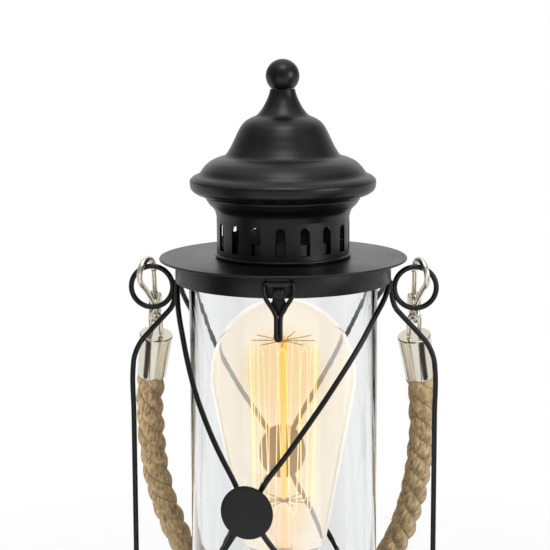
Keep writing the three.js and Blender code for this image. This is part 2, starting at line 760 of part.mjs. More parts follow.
function cage(z) {
  const share = (z - filamentBottom) / (filamentTop - filamentBottom);
  return filamentBottomRadius + share * (filamentTopRadius - filamentBottomRadius);
}

function filament() {
  const points = [];
  for (let run = 0; run < filamentRuns; run += 1) {
    const angle = (2 * Math.PI * (run + 0.5)) / filamentRuns;
    const heights = [filamentBottom, (filamentBottom + filamentTop) / 2, filamentTop];
    if (run % 2) heights.reverse();
    for (const z of heights) {
      points.push(new THREE.Vector3(cage(z) * Math.sin(angle), cage(z) * Math.cos(angle), z));
    }
  }
  return wire(points, filamentRadius, filamentRuns * 4, 3);
}

// Hubs on the rod with an arm to each bend of the filament
function supports(z, first) {
  const arms = [];
  for (let run = first; run < filamentRuns; run += 2) {
    const angle = (2 * Math.PI * (run + 1)) / filamentRuns;
    const reach = cage(z) - filamentRadius - 2 * seatGap - hubRadius / 2;
    const arm = rod(armRadius, reach, 3).rotateX(Math.PI / 2);
    arm.translate(0, hubRadius / 2 + reach / 2, z).rotateZ(-angle);
    arms.push(arm);
  }
  const hub = rod(hubRadius, hubThickness, pinSides).translate(0, 0, z);
  return cut(joined(hub, ...arms), bore(rodRadius + seatGap, 2 * hubThickness).translate(0, 0, z));
}

function addBulb() {
  const contactZ = bulbContactZ + bulbContactThickness / 2;
  add('bulb_contact', rod(bulbContactRadius, bulbContactThickness, pinSides), brass).position.z = contactZ;
  const insulatorProfile = [
    [0, 0], [bulbContactRadius, 0], [capRadius * 0.8, insulatorHeight], [0, insulatorHeight],
  ];
  add('bulb_insulator', turned(insulatorProfile, smallSides), phenolic).position.z = capZ - seatGap - insulatorHeight;
  const capProfile = [
    [0, 0], [capRadius * 0.85, 0], [capRadius, capHeight * 0.1], [capRadius, capHeight * 0.94],
    [capRadius * 0.97, capHeight], [0, capHeight],
  ];
  add('bulb_cap', turned(capProfile, smallSides), brass).position.z = capZ;
  const outline = bulbOutline();
  const profile = sheetProfile(outline, bulbWall);
  profile[outline.length - 1] = [0, bulbHeight];
  profile[outline.length] = [0, bulbHeight - bulbWall];
  add('bulb_glass', turned(profile, midSides, true), amber).position.z = bulbZ;
  const stemProfile = [
    [0, seatGap], [stemFootRadius, seatGap], [stemFootRadius * 0.8, stemFootHeight],
    [stemRadius, stemFootHeight * 2], [stemRadius * 0.8, stemHeight], [rodRadius, stemHeight + stemRadius],
    [rodRadius, rodHeight], [0, rodHeight],
  ];
  add('bulb_stem', turned(stemProfile, pinSides), amber).position.z = bulbZ;
  add('filament', filament(), glow).position.z = bulbZ;
  const bend = filamentRadius + seatGap;
  add('upper_filament_support', supports(filamentTop - bend, 0), steel).position.z = bulbZ;
  add('lower_filament_support', supports(filamentBottom + bend + stemRadius, 1), steel).position.z = bulbZ;
}

// Rope handle

const pivotSide = ringCentre() + ringRadius * Math.cos(pivotAngle * degree);
const ferruleTopSide = pivotSide - ferruleSetIn;
const pivotDrop = ringDrop - ringRadius * Math.sin(pivotAngle * degree);

// A place in the right hook's plane: across towards its outer leg, down, and off the plane
function inHook(across, down, off = 0) {
  const turn = hookTurn * degree;
  return new THREE.Vector3(
    pivotSide + across * Math.cos(turn) + off * Math.sin(turn),
    -across * Math.sin(turn) + off * Math.cos(turn),
    -down,
  );
}

// Puts a piece modelled in XZ with +Y off the plane into the right hook's plane
function placedInHook(geometry, across, down) {
  const place = inHook(across, down);
  return geometry.rotateZ(-hookTurn * degree).translate(place.x, place.y, place.z);
}

function hook() {
  const bightDrop = bightRadius - bightRise;
  const eyeTop = hookEyeDrop - hookEyeRadius;
  const outer = Array.from({ length: bightSteps + 1 }, (_, i) => {
    const angle = Math.PI * (1 - i / bightSteps);
    return inHook(bightRadius * Math.cos(angle), bightDrop - bightRadius * Math.sin(angle));
  });
  const leg = [
    inHook(bightRadius * 0.74, bightDrop + (eyeTop - bightDrop) * 0.28),
    inHook(bightRadius * -0.02, bightDrop + (eyeTop - bightDrop) * 0.62),
    inHook(-hookEyeSide, eyeTop),
  ];
  const body = wire([...outer, ...leg], hookWireRadius, 22);
  const eye = placedInHook(wireRing(hookEyeRadius, hookWireRadius, wireSides, 12), -hookEyeSide, hookEyeDrop);
  const cheekIn = gateKnuckleWidth / 2 + runGap;
  const cheekOut = cheekIn + cheekThickness;
  const yoke = new THREE.BoxGeometry(2 * cheekRadius, 2 * cheekOut, cheekThickness);
  const yokeAt = placedInHook(yoke, -hookEyeSide, eyeTop - cheekThickness / 2);
  const cheeks = [-1, 1].map((side) => {
    const length = eyeTop - gatePivotDrop;
    const shape = new THREE.Shape();
    shape.absarc(0, 0, cheekRadius, 0, Math.PI, false);
    shape.lineTo(-cheekRadius, -length);
    shape.lineTo(cheekRadius, -length);
    const cheek = plate(shape, cheekThickness, 4).rotateX(Math.PI / 2);
    cheek.translate(0, side > 0 ? cheekOut : -cheekIn, 0);
    return placedInHook(cheek, -bightRadius, gatePivotDrop);
  });
  const pinHole = bore(gatePinRadius + runGap, 3 * gateKnuckleWidth + overrun).rotateX(Math.PI / 2);
  return cut(joined(body, eye, yokeAt, ...cheeks), placedInHook(pinHole, -bightRadius, gatePivotDrop));
}

function gate() {
  const top = bightRadius - bightRise + seatGap + gateRadius / 2;
  const length = gatePivotDrop - top;
  const bar = rod(gateRadius, length, pinSides).translate(0, 0, length / 2);
  const knuckle = rod(gateKnuckleRadius, gateKnuckleWidth, pinSides).rotateX(Math.PI / 2);
  const pinHole = bore(gatePinRadius + runGap, 2 * gateKnuckleWidth).rotateX(Math.PI / 2);
  return placedInHook(cut(joined(bar, knuckle), pinHole), -bightRadius, gatePivotDrop);
}

function gatePin() {
  const length = gateKnuckleWidth + 2 * (runGap + cheekThickness);
  return placedInHook(rod(gatePinRadius, length, pinSides).rotateX(Math.PI / 2), -bightRadius, gatePivotDrop);
}

function ferrule() {
  const wall = ferruleMouthRadius - ferruleBore;
  const profile = [
    [0, 0], [ferruleTopRadius - wall / 2, 0], [ferruleTopRadius, -wall / 2],
    [ferruleMouthRadius, -ferruleLength], [ferruleBore, -ferruleLength],
    [ferruleBore, -ferruleCrown - seatGap], [0, -ferruleCrown - seatGap],
  ];
  return turned(profile, smallSides);
}

// The ferrule's frame: its top middle, leaning out on the way down
function onFerrule(geometry, splay = ferruleSplay) {
  geometry.rotateY(-splay * degree);
  return geometry.translate(ferruleTopSide, handleSetback, -ferruleTopDrop);
}

// A U-shaped wire on the ferrule, whose round top passes through the hook's eye
function staple() {
  const rise = ferruleTopDrop - hookEyeDrop - stapleHalfWidth;
  const points = [
    [stapleHalfWidth, stapleFootGap], [stapleHalfWidth, rise / 2],
    ...arc(0, rise, stapleHalfWidth, 0, 180, 6),
    [-stapleHalfWidth, rise / 2], [-stapleHalfWidth, stapleFootGap],
  ];
  const turn = hookTurn * degree;
  return points.map(([across, up]) => (
    new THREE.Vector3(across * Math.sin(turn), across * Math.cos(turn), up)
  ));
}

function rope() {
  const reach = pivotSide + ropeBulge;
  const down = ropeShares.map(([across, drop]) => (
    new THREE.Vector3(across * reach, handleSetback, -drop * ropeDrop)
  ));
  const splay = ferruleSplay * degree;
  const mouth = ferruleLength + ropeGap;
  const start = new THREE.Vector3(
    ferruleTopSide + mouth * Math.sin(splay), handleSetback, -ferruleTopDrop - mouth * Math.cos(splay),
  );
  const right = [start, ...down];
  const left = right.slice(0, -1).reverse().map((p) => new THREE.Vector3(-p.x, p.y, p.z));
  const strand = wire([...right, ...left], ropeRadius, 38, pinSides);
  const tenonTop = ferruleLength - ropeGrip;
  const tenonLength = ropeGrip + ropeRadius;
  const tenon = () => {
    const end = rod(ferruleBore - seatGap, tenonLength, pinSides);
    return onFerrule(end.translate(0, 0, -tenonTop - tenonLength / 2));
  };
  const rightEnd = tenon();
  const leftEnd = cleaned(tenon().scale(-1, 1, 1));
  return joined(strand, rightEnd, leftEnd);
}

function addHandle() {
  const handle = new THREE.Group();
  handle.position.z = plateHeight - pivotDrop;
  handle.rotation.x = handleLean * degree;
  lamp.add(handle);
  const stapleCurve = wire(staple(), stapleWireRadius, 16);
  const pieces = [
    ['hook', hook(), nickel], ['gate', gate(), nickel], ['gate_pin', gatePin(), nickel],
    ['staple', onFerrule(stapleCurve, 0), nickel], ['ferrule', onFerrule(ferrule()), nickel],
  ];
  for (const [name, geometry, look] of pieces) {
    add(`right_${name}`, geometry, look, handle);
    add(`left_${name}`, cleaned(geometry.clone().scale(-1, 1, 1)), look, handle);
  }
  add('handle_rope', rope(), jute, handle);
}

addBase();
addGlass();
addCage();
addCatch();
addHolder();
addBulb();
addLid();
addHinge();
addClasp();
addHandle();

export default lamp;
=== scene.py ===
import math

import bpy
import numpy as np
from mathutils import Matrix, Vector


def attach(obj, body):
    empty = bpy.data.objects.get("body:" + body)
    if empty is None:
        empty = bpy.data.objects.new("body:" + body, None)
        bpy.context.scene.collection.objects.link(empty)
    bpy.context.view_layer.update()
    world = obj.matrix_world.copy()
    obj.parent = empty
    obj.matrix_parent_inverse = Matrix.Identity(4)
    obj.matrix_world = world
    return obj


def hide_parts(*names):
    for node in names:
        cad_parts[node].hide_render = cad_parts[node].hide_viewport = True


bl_info = {
    "name": "Lantern table lamp",
    "version": (1, 0, 0),
    "blender": (4, 5, 0),
    "location": "3D View > Sidebar > Lantern",
    "description": "Surfaces and finishes of a lantern table lamp, built round its fixed frame",
    "category": "Add Mesh",
}

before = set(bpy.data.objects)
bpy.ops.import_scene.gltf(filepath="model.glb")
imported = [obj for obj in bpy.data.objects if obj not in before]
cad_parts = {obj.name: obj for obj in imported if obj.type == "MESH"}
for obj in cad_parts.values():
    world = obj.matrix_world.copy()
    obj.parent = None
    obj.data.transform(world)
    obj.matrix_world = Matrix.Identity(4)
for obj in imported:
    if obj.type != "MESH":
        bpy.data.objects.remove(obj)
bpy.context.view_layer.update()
MM = 0.001
ROUND = 2 * math.pi
UPRIGHT = math.pi / 2
# Steps round the largest turned pieces
FINE = 192

# Sizes of the lamp in millimetres and angles in radians or degrees, as its solids have them
SEAT_GAP = 0.3
PLATE_Z, PLATE_R = 224.3, 53.1
BAND_R, BAND_H = 46.3, 9.0
BAND_TOP = PLATE_Z - 1.3
BAND_LOW = BAND_TOP - BAND_H
LOWER_TOP = 39.3
DRUM_TOP = 30.3
GLASS_R = 40.5
WIRE_R = 1.15
RING_R, RING_X, RING_DROP = 8.95, 56.7, 13.5
RING_Z = PLATE_Z - RING_DROP
GUARD_X = 65.5
FOOT_Z = 8.3
CAGE_R = 46.6
CROSS_STEP = 1.45
CROSS_REACH = 86.5
DISC_ANGLES = {-1: -15.5, 1: -3.0}
CROSSING_Z = (BAND_LOW + LOWER_TOP) / 2 - 1.8
DISC_R = 11.3
CHIMNEY_R, CHIMNEY_WALL_H, CHIMNEY_H, CHIMNEY_FLARE = 28.4, 17.4, 26.2, 4.8
WINDOWS, WINDOW_HALF, WINDOW_LOW, WINDOW_TOP = 17, 2.15, 3.9, 15.7
AXLE_Y, AXLE_Z = 48.9, PLATE_Z - 3.4
DOME_Z, DOME_R, DOME_H = 250.8, 39.7, 44.9
BALL_R, BALL_SEAT_R = 7.15, 4.9
HOLDER_Z, CAP_Z, BULB_Z = 42.6, 66.2, 88.5
BULB_R, BULB_WIDEST, BULB_WALL = 32, 82.9, 0.8
PIVOT_X, PIVOT_Z = 59.016, 219.445
HANDLE_LEAN = math.radians(16.5)
HANDLE_BACK = 4.5
HOOK_TURN = math.radians(65)
BIGHT_R, BIGHT_CROWN = 5.85, 3.2
GATE_PIN = -BIGHT_R, 16.4
EYE_ACROSS, EYE_DOWN, EYE_R = -5, 24.4, 3.1
FERRULE_X, FERRULE_DROP, FERRULE_LENGTH = 56.816, 34.9, 20.6
FERRULE_SPLAY = math.radians(8.4)
FILAMENT_RUNS, FILAMENT_LOW, FILAMENT_HIGH = 18, 24.2, 98.0
FILAMENT_R, FILAMENT_FLARE = 13.0, 1.8

# Outlines. Shares are of a radius or width and of a height, and the rope's is in millimetres
DOME_SHARES = [
    (0.871, 0), (0.948, 0.029), (0.985, 0.058), (1, 0.116), (0.998, 0.145), (0.968, 0.174),
    (0.901, 0.205), (0.851, 0.263), (0.777, 0.321), (0.707, 0.35), (0.618, 0.379), (0.571, 0.437),
    (0.521, 0.523), (0.474, 0.61), (0.434, 0.668), (0.402, 0.697), (0.35, 0.726), (0.28, 0.755),
    (0.223, 0.813), (0.184, 0.873), (0.154, 0.931), (0.132, 1),
]
COVE_SHARES = [
    (0, 0), (0.06, 0.15), (0.14, 0.3), (0.34, 0.46), (0.64, 0.62), (0.84, 0.78), (1, 0.93),
]
STEEP_SHARES = [
    (1, 0), (0.845, 0.105), (0.709, 0.209), (0.594, 0.34), (0.491, 0.47), (0.375, 0.6),
    (0.257, 0.727), (0.131, 0.856), (0, 1),
]
FLAT_SHARES = [
    (1, 0), (0.86, 0.05), (0.738, 0.114), (0.597, 0.237), (0.478, 0.363), (0.37, 0.494),
    (0.264, 0.629), (0.158, 0.767), (0.1, 0.838), (0, 1),
]
GUARD_SHARES = [
    (0, 0), (0.01, 0.11), (0.045, 0.23), (0.11, 0.31), (0.23, 0.38), (0.55, 0.55), (0.86, 0.74),
    (0.975, 0.89), (1, 1),
]
ROPE_LINE = [
    (60.4, 60.4), (61.0, 67.0), (61.4, 75.0), (61.4, 84.0), (61.1, 93.0), (60.3, 102.5),
    (59.0, 112.0), (57.0, 122.0), (54.4, 132.0), (51.0, 142.0), (46.4, 151.5), (40.2, 160.5),
    (32.4, 168.0), (23.0, 173.6), (12.0, 177.0), (0, 178.2),
]


# Settings that a user would change


def colour_setting(label, text, default):
    """A colour with its label, text and default."""
    return bpy.props.FloatVectorProperty(
        name=label, description=text, subtype="COLOR", size=3, min=0, max=1, default=default)


def number_setting(label, text, default, least=0, **kind):
    """A number with its label, text, default, least value, and its unit or subtype."""
    return bpy.props.FloatProperty(name=label, description=text, default=default, min=least, **kind)


class LanternFinish(bpy.types.PropertyGroup):
    """Colours and finishes of the metal, the glass and the light"""

    coat_colour: colour_setting(
        "Coat colour", "Satin coat of the steel parts", (0.0012, 0.0012, 0.0014))
    coat_roughness: number_setting(
        "Coat roughness", "0 is glossy, 1 is matt", 0.36, subtype="FACTOR", max=1)
    nickel_colour: colour_setting(
        "Nickel colour", "Plating of the ferrules on the rope's ends", (0.68, 0.65, 0.55))
    bulb_tint: colour_setting("Bulb tint", "Tint of the bulb's glass", (0.82, 0.76, 0.66))
    # painted glow: the lit bulb's clear glass gives off light of its own
    painted_glow_strength: number_setting(
        "Haze", "Light that each face of the lit bulb's glass sends out", 0.17)
    glow_colour: colour_setting("Glow colour", "Light of the filament", (1.0, 0.80, 0.42))
    glow_strength: number_setting("Glow strength", "How brightly the filament glows", 1.25)


class LanternRope(bpy.types.PropertyGroup):
    """Lay and fibre of the rope handle"""

    lay: number_setting(
        "Lay", "Length in which a strand goes once round", 0.0295, 0.01, unit="LENGTH")
    diameter: number_setting(
        "Diameter", "Thickness of the rope over its strands", 0.0122, 0.004, unit="LENGTH")
    # the dark and light fibre colours are the fibres' own range of tone, and the fibre twist also
    # uses them for painted shade: dark in the grooves, light on the strands' crowns
    dark_colour: colour_setting(
        "Dark fibre", "Darkest fibres, in the grooves", (0.13, 0.082, 0.042))
    light_colour: colour_setting("Light fibre", "Sunlit fibres", (0.60, 0.435, 0.225))
    stray_fibres: bpy.props.IntProperty(
        name="Stray fibres", description="Loose fibres that stand off the rope", min=0, default=420,
    )


class LanternStage(bpy.types.PropertyGroup):
    """Floor, light and camera"""

    focal_length: number_setting("Focal length", "Lens for a 36 mm sensor", 113.1, 10)
    key_power: number_setting(
        "Key light", "Power of the large lamp on the left", 7.5, subtype="POWER")
    fill_power: number_setting("Fill light", "Power of the lamp on the right", 6.0, subtype="POWER")
    top_power: number_setting("Top light", "Power of the lamp overhead", 3.8, subtype="POWER")
    sky_level: number_setting("Sky level", "Light that comes from all round", 0.75)


# Curves, tubes and turned surfaces, all as whole arrays. A part is its points, quads and triangles


def through(points, count):
    """Smooth line through points: cubic pieces whose slope at each point is that of its
    neighbours, sampled at even steps of the points' chord length."""
    p = np.asarray(points, float)
    t = np.concatenate([[0], np.cumsum(np.linalg.norm(np.diff(p, axis=0), axis=1))])
    slope = np.gradient(p, t, axis=0)
    u = np.linspace(t[0], t[-1], count)
    k = np.clip(np.searchsorted(t, u, side="right") - 1, 0, len(t) - 2)
    h = (t[k + 1] - t[k])[:, None]
    x = (u - t[k])[:, None] / h
    before = (2 * x**3 - 3 * x**2 + 1) * p[k] + (x**3 - 2 * x**2 + x) * h * slope[k]
    after = (3 * x**2 - 2 * x**3) * p[k + 1] + (x**3 - x**2) * h * slope[k + 1]
    return before + after


def arc(centre, radius, start, end, count):
    """Points centre + radius (cos a, sin a), with a from start to end in degrees."""
    a = np.radians(np.linspace(start, end, count))
    return np.c_[centre[0] + radius * np.cos(a), centre[1] + radius * np.sin(a)]


def ring_angles(count):
    """Angles all round, evenly spaced, without the last one that meets the first."""
    return np.linspace(0, ROUND, count, endpoint=False)


def standing(flat, y=0.0):
    """A line in the plane of X and Z at one Y."""
    return np.c_[flat[:, 0], np.full(len(flat), y), flat[:, 1]]


def unit(v):
    """The same direction with length 1."""
    return v / np.linalg.norm(v, axis=-1, keepdims=True)


def fullness(verts, faces):
    """Six times the volume inside faces: the sum of a . (b x c) over their triangles. It is
    negative where the faces look inwards."""
    tri = np.vstack([faces[:, [0, 1, 2]], faces[:, [0, 2, 3]]]) if faces.shape[1] == 4 else faces
    a, b, c = verts[tri[:, 0]], verts[tri[:, 1]], verts[tri[:, 2]]
    return np.einsum("ij,ij->i", a, np.cross(b, c)).sum()


def skin(grid, wrap_rows=False, poles=(None, None)):
    """Quads between neighbouring rows and columns of a grid of points, whose columns go round. A
    pole is a point that closes the first or last row with a fan. All faces look outwards."""
    rows, cols = grid.shape[:2]
    r, c = np.meshgrid(np.arange(rows if wrap_rows else rows - 1), np.arange(cols), indexing="ij")
    r, c = r.ravel(), c.ravel()
    r1, c1 = (r + 1) % rows, (c + 1) % cols
    quads = np.c_[r * cols + c, r * cols + c1, r1 * cols + c1, r1 * cols + c]
    verts, tris = grid.reshape(-1, 3), np.zeros((0, 3), int)
    around = np.arange(cols)
    for row, pole in ((0, poles[0]), (rows - 1, poles[1])):
        if pole is not None:
            hub = np.full(cols, len(verts))
            verts = np.vstack([verts, pole])
            a, b = row * cols + around, row * cols + (around + 1) % cols
            tris = np.vstack([tris, np.c_[b, a, hub] if row == 0 else np.c_[a, b, hub]])
    if fullness(verts, quads) + fullness(verts, tris) < 0:
        quads, tris = quads[:, ::-1], tris[:, ::-1]
    return verts, quads, tris


def turned(profile, around, closes=False, lift=0.0):
    """A profile of (radius, height) turned round Z: (r cos a, r sin a, z). It closes on itself,
    or starts and ends on the axis."""
    p = np.asarray(profile, float)
    ends = (None, None)
    if not closes:
        ends = tuple((0, 0, p[k, 1] + lift) for k in (0, -1))
        p = p[1:-1]
    a = ring_angles(around)
    r, z = p[:, 0][:, None], p[:, 1][:, None] + lift
    grid = np.stack([r * np.cos(a), r * np.sin(a), z + 0 * a], axis=-1)
    return skin(grid, wrap_rows=closes, poles=ends)


def sheet_of(line, wall):
    """Closed profile of a sheet: the line, and the line moved by wall to its left."""
    p = np.asarray(line, float)
    d = unit(np.gradient(p, axis=0))
    inner = p + wall * np.c_[-d[:, 1], d[:, 0]]
    inner[:, 0] = np.maximum(inner[:, 0], 0)
    return np.vstack([p, inner[::-1]])


def tube(path, radius, sides, across=(0, 1, 0), closed=False, soft=0.3):
    """A round wire: path + radius (cos a n + sin a b), where n lies across the path and b is
    square to both. Open ends are rounded by soft times the radius."""
    p = np.asarray(path, float)
    r = np.full(len(p), radius, float)
    ref = np.broadcast_to(np.asarray(across, float), p.shape)
    if closed:
        t = unit(np.roll(p, -1, axis=0) - np.roll(p, 1, axis=0))
    else:
        t = unit(np.gradient(p, axis=0))
        push = soft * r[0]
        start = [p[0] + t[0] * k * push for k in (0, 0.3, 1)]
        end = [p[-1] - t[-1] * k * push for k in (1, 0.3, 0)]
        keep = slice(1, -1)
        t, ref = (np.vstack([v[[0, 0, 0]], v[keep], v[[-1, -1, -1]]]) for v in (t, ref))
        ends = [r[0] - push, r[0] - 0.3 * push, r[0]]
        r = np.concatenate([ends, r[keep], ends[::-1]])
        p = np.vstack([start, p[keep], end])
    b = unit(np.cross(t, ref))
    n = np.cross(b, t)
    a = ring_angles(sides)[None, :, None]
    grid = p[:, None] + r[:, None, None] * (np.cos(a) * n[:, None] + np.sin(a) * b[:, None])
    return skin(grid, wrap_rows=closed, poles=(None, None) if closed else (p[0], p[-1]))


def slab(outline, half, edge):
    """A flat plate about its middle plane: an outline in XY, in rings, with its edges eased."""
    p = np.asarray(outline, float)
    d = unit(np.roll(p, -1, axis=0) - np.roll(p, 1, axis=0))
    inward = np.c_[-d[:, 1], d[:, 0]]
    area = (p[:, 0] * np.roll(p[:, 1], -1) - np.roll(p[:, 0], -1) * p[:, 1]).sum()
    inward = inward if area > 0 else -inward
    low, high = -half, half
    levels = ((low, edge), (low + 0.3 * edge, 0.3 * edge), (low + edge, 0), (high - edge, 0),
              (high - 0.3 * edge, 0.3 * edge), (high, edge))
    rings = [np.c_[p + inward * back, np.full(len(p), z)] for z, back in levels]
    middle = p.mean(axis=0)
    return skin(np.stack(rings), poles=((*middle, low), (*middle, high)))


def moved(part, by=(0, 0, 0), turn=None):
    """A part turned by a 3 by 3 matrix and then moved."""
    verts = part[0] if turn is None else part[0] @ np.asarray(turn).T
    return (verts + np.asarray(by, float), *part[1:])


def about(axis, angle):
    """Matrix of a turn by angle about the X, Y or Z axis."""
    c, s = math.cos(angle), math.sin(angle)
    i, j = {"X": (1, 2), "Y": (2, 0), "Z": (0, 1)}[axis]
    m = np.eye(3)
    m[i, i], m[i, j], m[j, i], m[j, j] = c, -s, s, c
    return m


def mirrored(part):
    """The part on the other side of the lamp: x becomes -x, and the faces turn round."""
    verts, quads, tris = part
    return verts * (-1, 1, 1), quads[:, ::-1], tris[:, ::-1]


def together(*parts):
    """Several parts as one: each one's faces count on from the points before it."""
    starts = np.cumsum([0] + [len(verts) for verts, _, _ in parts])
    rows = [(v, q + start, t + start) for (v, q, t), start in zip(parts, starts)]
    return tuple(np.vstack(bits) for bits in zip(*rows))


def shown(name, part, surface):
    """A new object in the scene from a part in millimetres."""
    mesh = bpy.data.meshes.new(name)
    mesh.from_pydata((part[0] * MM).tolist(), [], part[1].tolist() + part[2].tolist())
    mesh.validate()
    mesh.materials.append(surface)
    obj = bpy.data.objects.new(name, mesh)
    bpy.context.scene.collection.objects.link(obj)
    return obj


def piece(name, parts, node, finish="coat", body="frame", crease=35, uv=None):
    """One object from closed parts. It rides on a body and stands for a CAD node, or for none."""
    obj = shown(name, together(*parts), FINISHES[finish])
    mesh = obj.data
    if uv is not None:
        layer = mesh.uv_layers.new(name="lay")
        flat = np.zeros((len(mesh.loops), 2), np.float32)
        flat[: len(uv)] = uv
        layer.data.foreach_set("uv", flat.ravel())
    mesh.polygons.foreach_set("use_smooth", np.ones(len(mesh.polygons), bool))
    mesh.set_sharp_from_angle(angle=math.radians(crease))
    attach(obj, body)
    if node:
        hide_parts(node)
    return obj


# Finishes

# The material for each finish
FINISHES = {}


def feed(tree, made, inputs):
    """Each input, by name or number, is linked to a socket or set to a value."""
    for key, value in dict(inputs).items():
        if isinstance(value, bpy.types.NodeSocket):
            tree.links.new(value, made.inputs[key])
        else:
            made.inputs[key].default_value = value


def shader_node(tree, kind, inputs=(), **settings):
    """A new shader node with its settings and inputs."""
    made = tree.nodes.new("ShaderNode" + kind)
    for name, value in settings.items():
        setattr(made, name, value)
    feed(tree, made, inputs)
    return made


def noise(tree, place, scale, detail=3.0, rough=0.55, stretch=None):
    """Noise over a place, with the pattern stretched along an axis if asked."""
    if stretch:
        place = shader_node(tree, "Mapping", {"Vector": place, "Scale": stretch}).outputs[0]
    inputs = {"Vector": place, "Scale": scale, "Detail": detail, "Roughness": rough}
    return shader_node(tree, "TexNoise", inputs).outputs["Fac"]


def span(tree, value, low, high, to_low=0.0, to_high=1.0):
    """Maps low..high to to_low..to_high; the last two may be numbers or sockets."""
    inputs = {"Value": value, "From Min": low, "From Max": high, "To Min": to_low,
              "To Max": to_high}
    return shader_node(tree, "MapRange", inputs).outputs["Result"]


def reckon(tree, operation, *values):
    """One Math node on sockets or numbers."""
    return shader_node(tree, "Math", enumerate(values), operation=operation).outputs[0]


def weighed(tree, a, a_weight, b, b_weight):
    """a times its weight plus b times its weight."""
    return reckon(tree, "ADD", reckon(tree, "MULTIPLY", a, a_weight),
                  reckon(tree, "MULTIPLY", b, b_weight))


def blended(tree, factor, a, b, kind="MIX"):
    """One colour mix of sockets or colours."""
    inputs = {0: factor, 6: a, 7: b}
    return shader_node(tree, "Mix", inputs, data_type="RGBA", blend_type=kind).outputs[2]


def toned(tree, colour, level):
    """A colour times a level."""
    grey = shader_node(tree, "CombineColor", enumerate([level] * 3)).outputs[0]
    return blended(tree, 1.0, colour, grey, "MULTIPLY")


def place_of(tree, kind="Object"):
    """Where a point is, in one of the coordinates of the shader."""
    return shader_node(tree, "TexCoord").outputs[kind]


def split_up(tree, vector):
    """The X, Y and Z of a vector."""
    return shader_node(tree, "SeparateXYZ", {0: vector}).outputs


def half_turns(tree, place):
    """Turn about Z from the front, either way, in half turns: 0 in front and 1 behind."""
    front = reckon(tree, "MULTIPLY", place["Y"], -1.0)
    turn = reckon(tree, "ABSOLUTE", reckon(tree, "ARCTAN2", place["X"], front))
    return reckon(tree, "DIVIDE", turn, math.pi)


def pattern(name, inputs):
    """An empty shader group: inputs by name and value, and colour, roughness and height out."""
    tree = bpy.data.node_groups.new(name, "ShaderNodeTree")
    for label, value in inputs.items():
        kind = "NodeSocketColor" if isinstance(value, tuple) else "NodeSocketFloat"
        tree.interface.new_socket(label, in_out="INPUT", socket_type=kind).default_value = value
    for label, kind in (("Colour", "Color"), ("Roughness", "Float"), ("Height", "Float")):
        tree.interface.new_socket(label, in_out="OUTPUT", socket_type="NodeSocket" + kind)
    return tree, tree.nodes.new("NodeGroupInput").outputs, tree.nodes.new("NodeGroupOutput")


def surface_grain():
    """Fine orange-peel grain with a faint cloudiness: noise at two scales moves the colour, the
    roughness and the height."""
    tree, given, out = pattern("Surface grain", {
        "Colour": (0.5, 0.5, 0.5, 1), "Roughness": 0.4, "Cloud": 0.1, "Grain scale": 900.0,
    })
    place = place_of(tree)
    low, high = (reckon(tree, way, 1.0, given["Cloud"]) for way in ("SUBTRACT", "ADD"))
    level = span(tree, noise(tree, place, 38.0, 4.0), 0.3, 0.7, low, high)
    feed(tree, out, {
        "Colour": toned(tree, given["Colour"], level),
        "Roughness": reckon(tree, "MULTIPLY", given["Roughness"], level),
        "Height": noise(tree, place, given["Grain scale"], 2.0),
    })
    return tree


def fibre_twist():
    """Fibres that run along the rope: long thin noise over the strand's own unrolled surface,
    with painted shade in the grooves, which the second coordinate's distance from a strand's middle
    gives."""
    tree, given, out = pattern("Fibre twist", {
        "Dark": (0.2, 0.1, 0.05, 1), "Light": (0.6, 0.4, 0.2, 1), "Lean": 0.4,
    })
    lay = split_up(tree, shader_node(tree, "UVMap", uv_map="lay").outputs[0])
    lean = reckon(tree, "MULTIPLY", lay["X"], given["Lean"])
    leaned = {"X": lay["X"], "Y": reckon(tree, "ADD", lay["Y"], lean)}
    place = shader_node(tree, "CombineXYZ", leaned).outputs[0]
    fine = noise(tree, place, 1.0, 3.0, 0.65, (3.0, 44.0, 1.0))
    wisp = noise(tree, place, 1.0, 4.0, 0.7, (2.4, 20.0, 1.0))
    patch = noise(tree, place_of(tree), 240.0, 3.0)
    both = weighed(tree, fine, 0.4, wisp, 0.6)
    shade = span(tree, weighed(tree, both, 0.8, patch, 0.2), 0.39, 0.59)
    # painted shade: the fibre colour darkens towards the grooves between the strands
    phase = reckon(tree, "MULTIPLY", lay["Y"], ROUND)
    crown = span(tree, reckon(tree, "COSINE", phase), -1.0, 0.4, 0.25, 1.0)
    # mix of the two fibre colours: the fibre tone noise times the painted groove shade
    light = reckon(tree, "MULTIPLY", shade, crown)
    feed(tree, out, {
        "Colour": blended(tree, light, given["Dark"], given["Light"]),
        "Roughness": span(tree, both, 0.3, 0.7, 0.95, 0.7),
        "Height": both,
    })
    return tree


def drawn_glass():
    """Faint upright streaks of drawn glass: noise stretched along the axis, fine in the height
    and the roughness, and wide in the colour."""
    tree, given, out = pattern("Drawn glass", {"Colour": (1, 1, 1, 1)})
    place = place_of(tree)
    streak = noise(tree, place, 1.0, 2.0, 0.5, (150.0, 150.0, 3.0))
    wide = noise(tree, place, 1.0, 2.0, 0.5, (45.0, 45.0, 2.0))
    feed(tree, out, {
        "Colour": toned(tree, given["Colour"], span(tree, wide, 0.3, 0.7, 0.93, 1.0)),
        "Roughness": span(tree, streak, 0.3, 0.7, 0.0, 0.02),
        "Height": streak,
    })
    return tree


def material(name, group=None, values=(), bump=0.0, reach=0.0002, **sockets):
    """A material with one Principled shader; a group feeds its colour, roughness and bump."""
    made = bpy.data.materials.new(name)
    made.use_nodes = True
    tree = made.node_tree
    shader = tree.nodes["Principled BSDF"]
    feed(tree, shader, {label.replace("_", " "): value for label, value in sockets.items()})
    if group is not None:
        given = shader_node(tree, "Group", values, node_tree=group).outputs
        feed(tree, shader, {"Base Color": given["Colour"], "Roughness": given["Roughness"]})
        if bump:
            inputs = {"Strength": bump, "Distance": reach, "Height": given["Height"]}
            feed(tree, shader, {"Normal": shader_node(tree, "Bump", inputs).outputs["Normal"]})
    return made


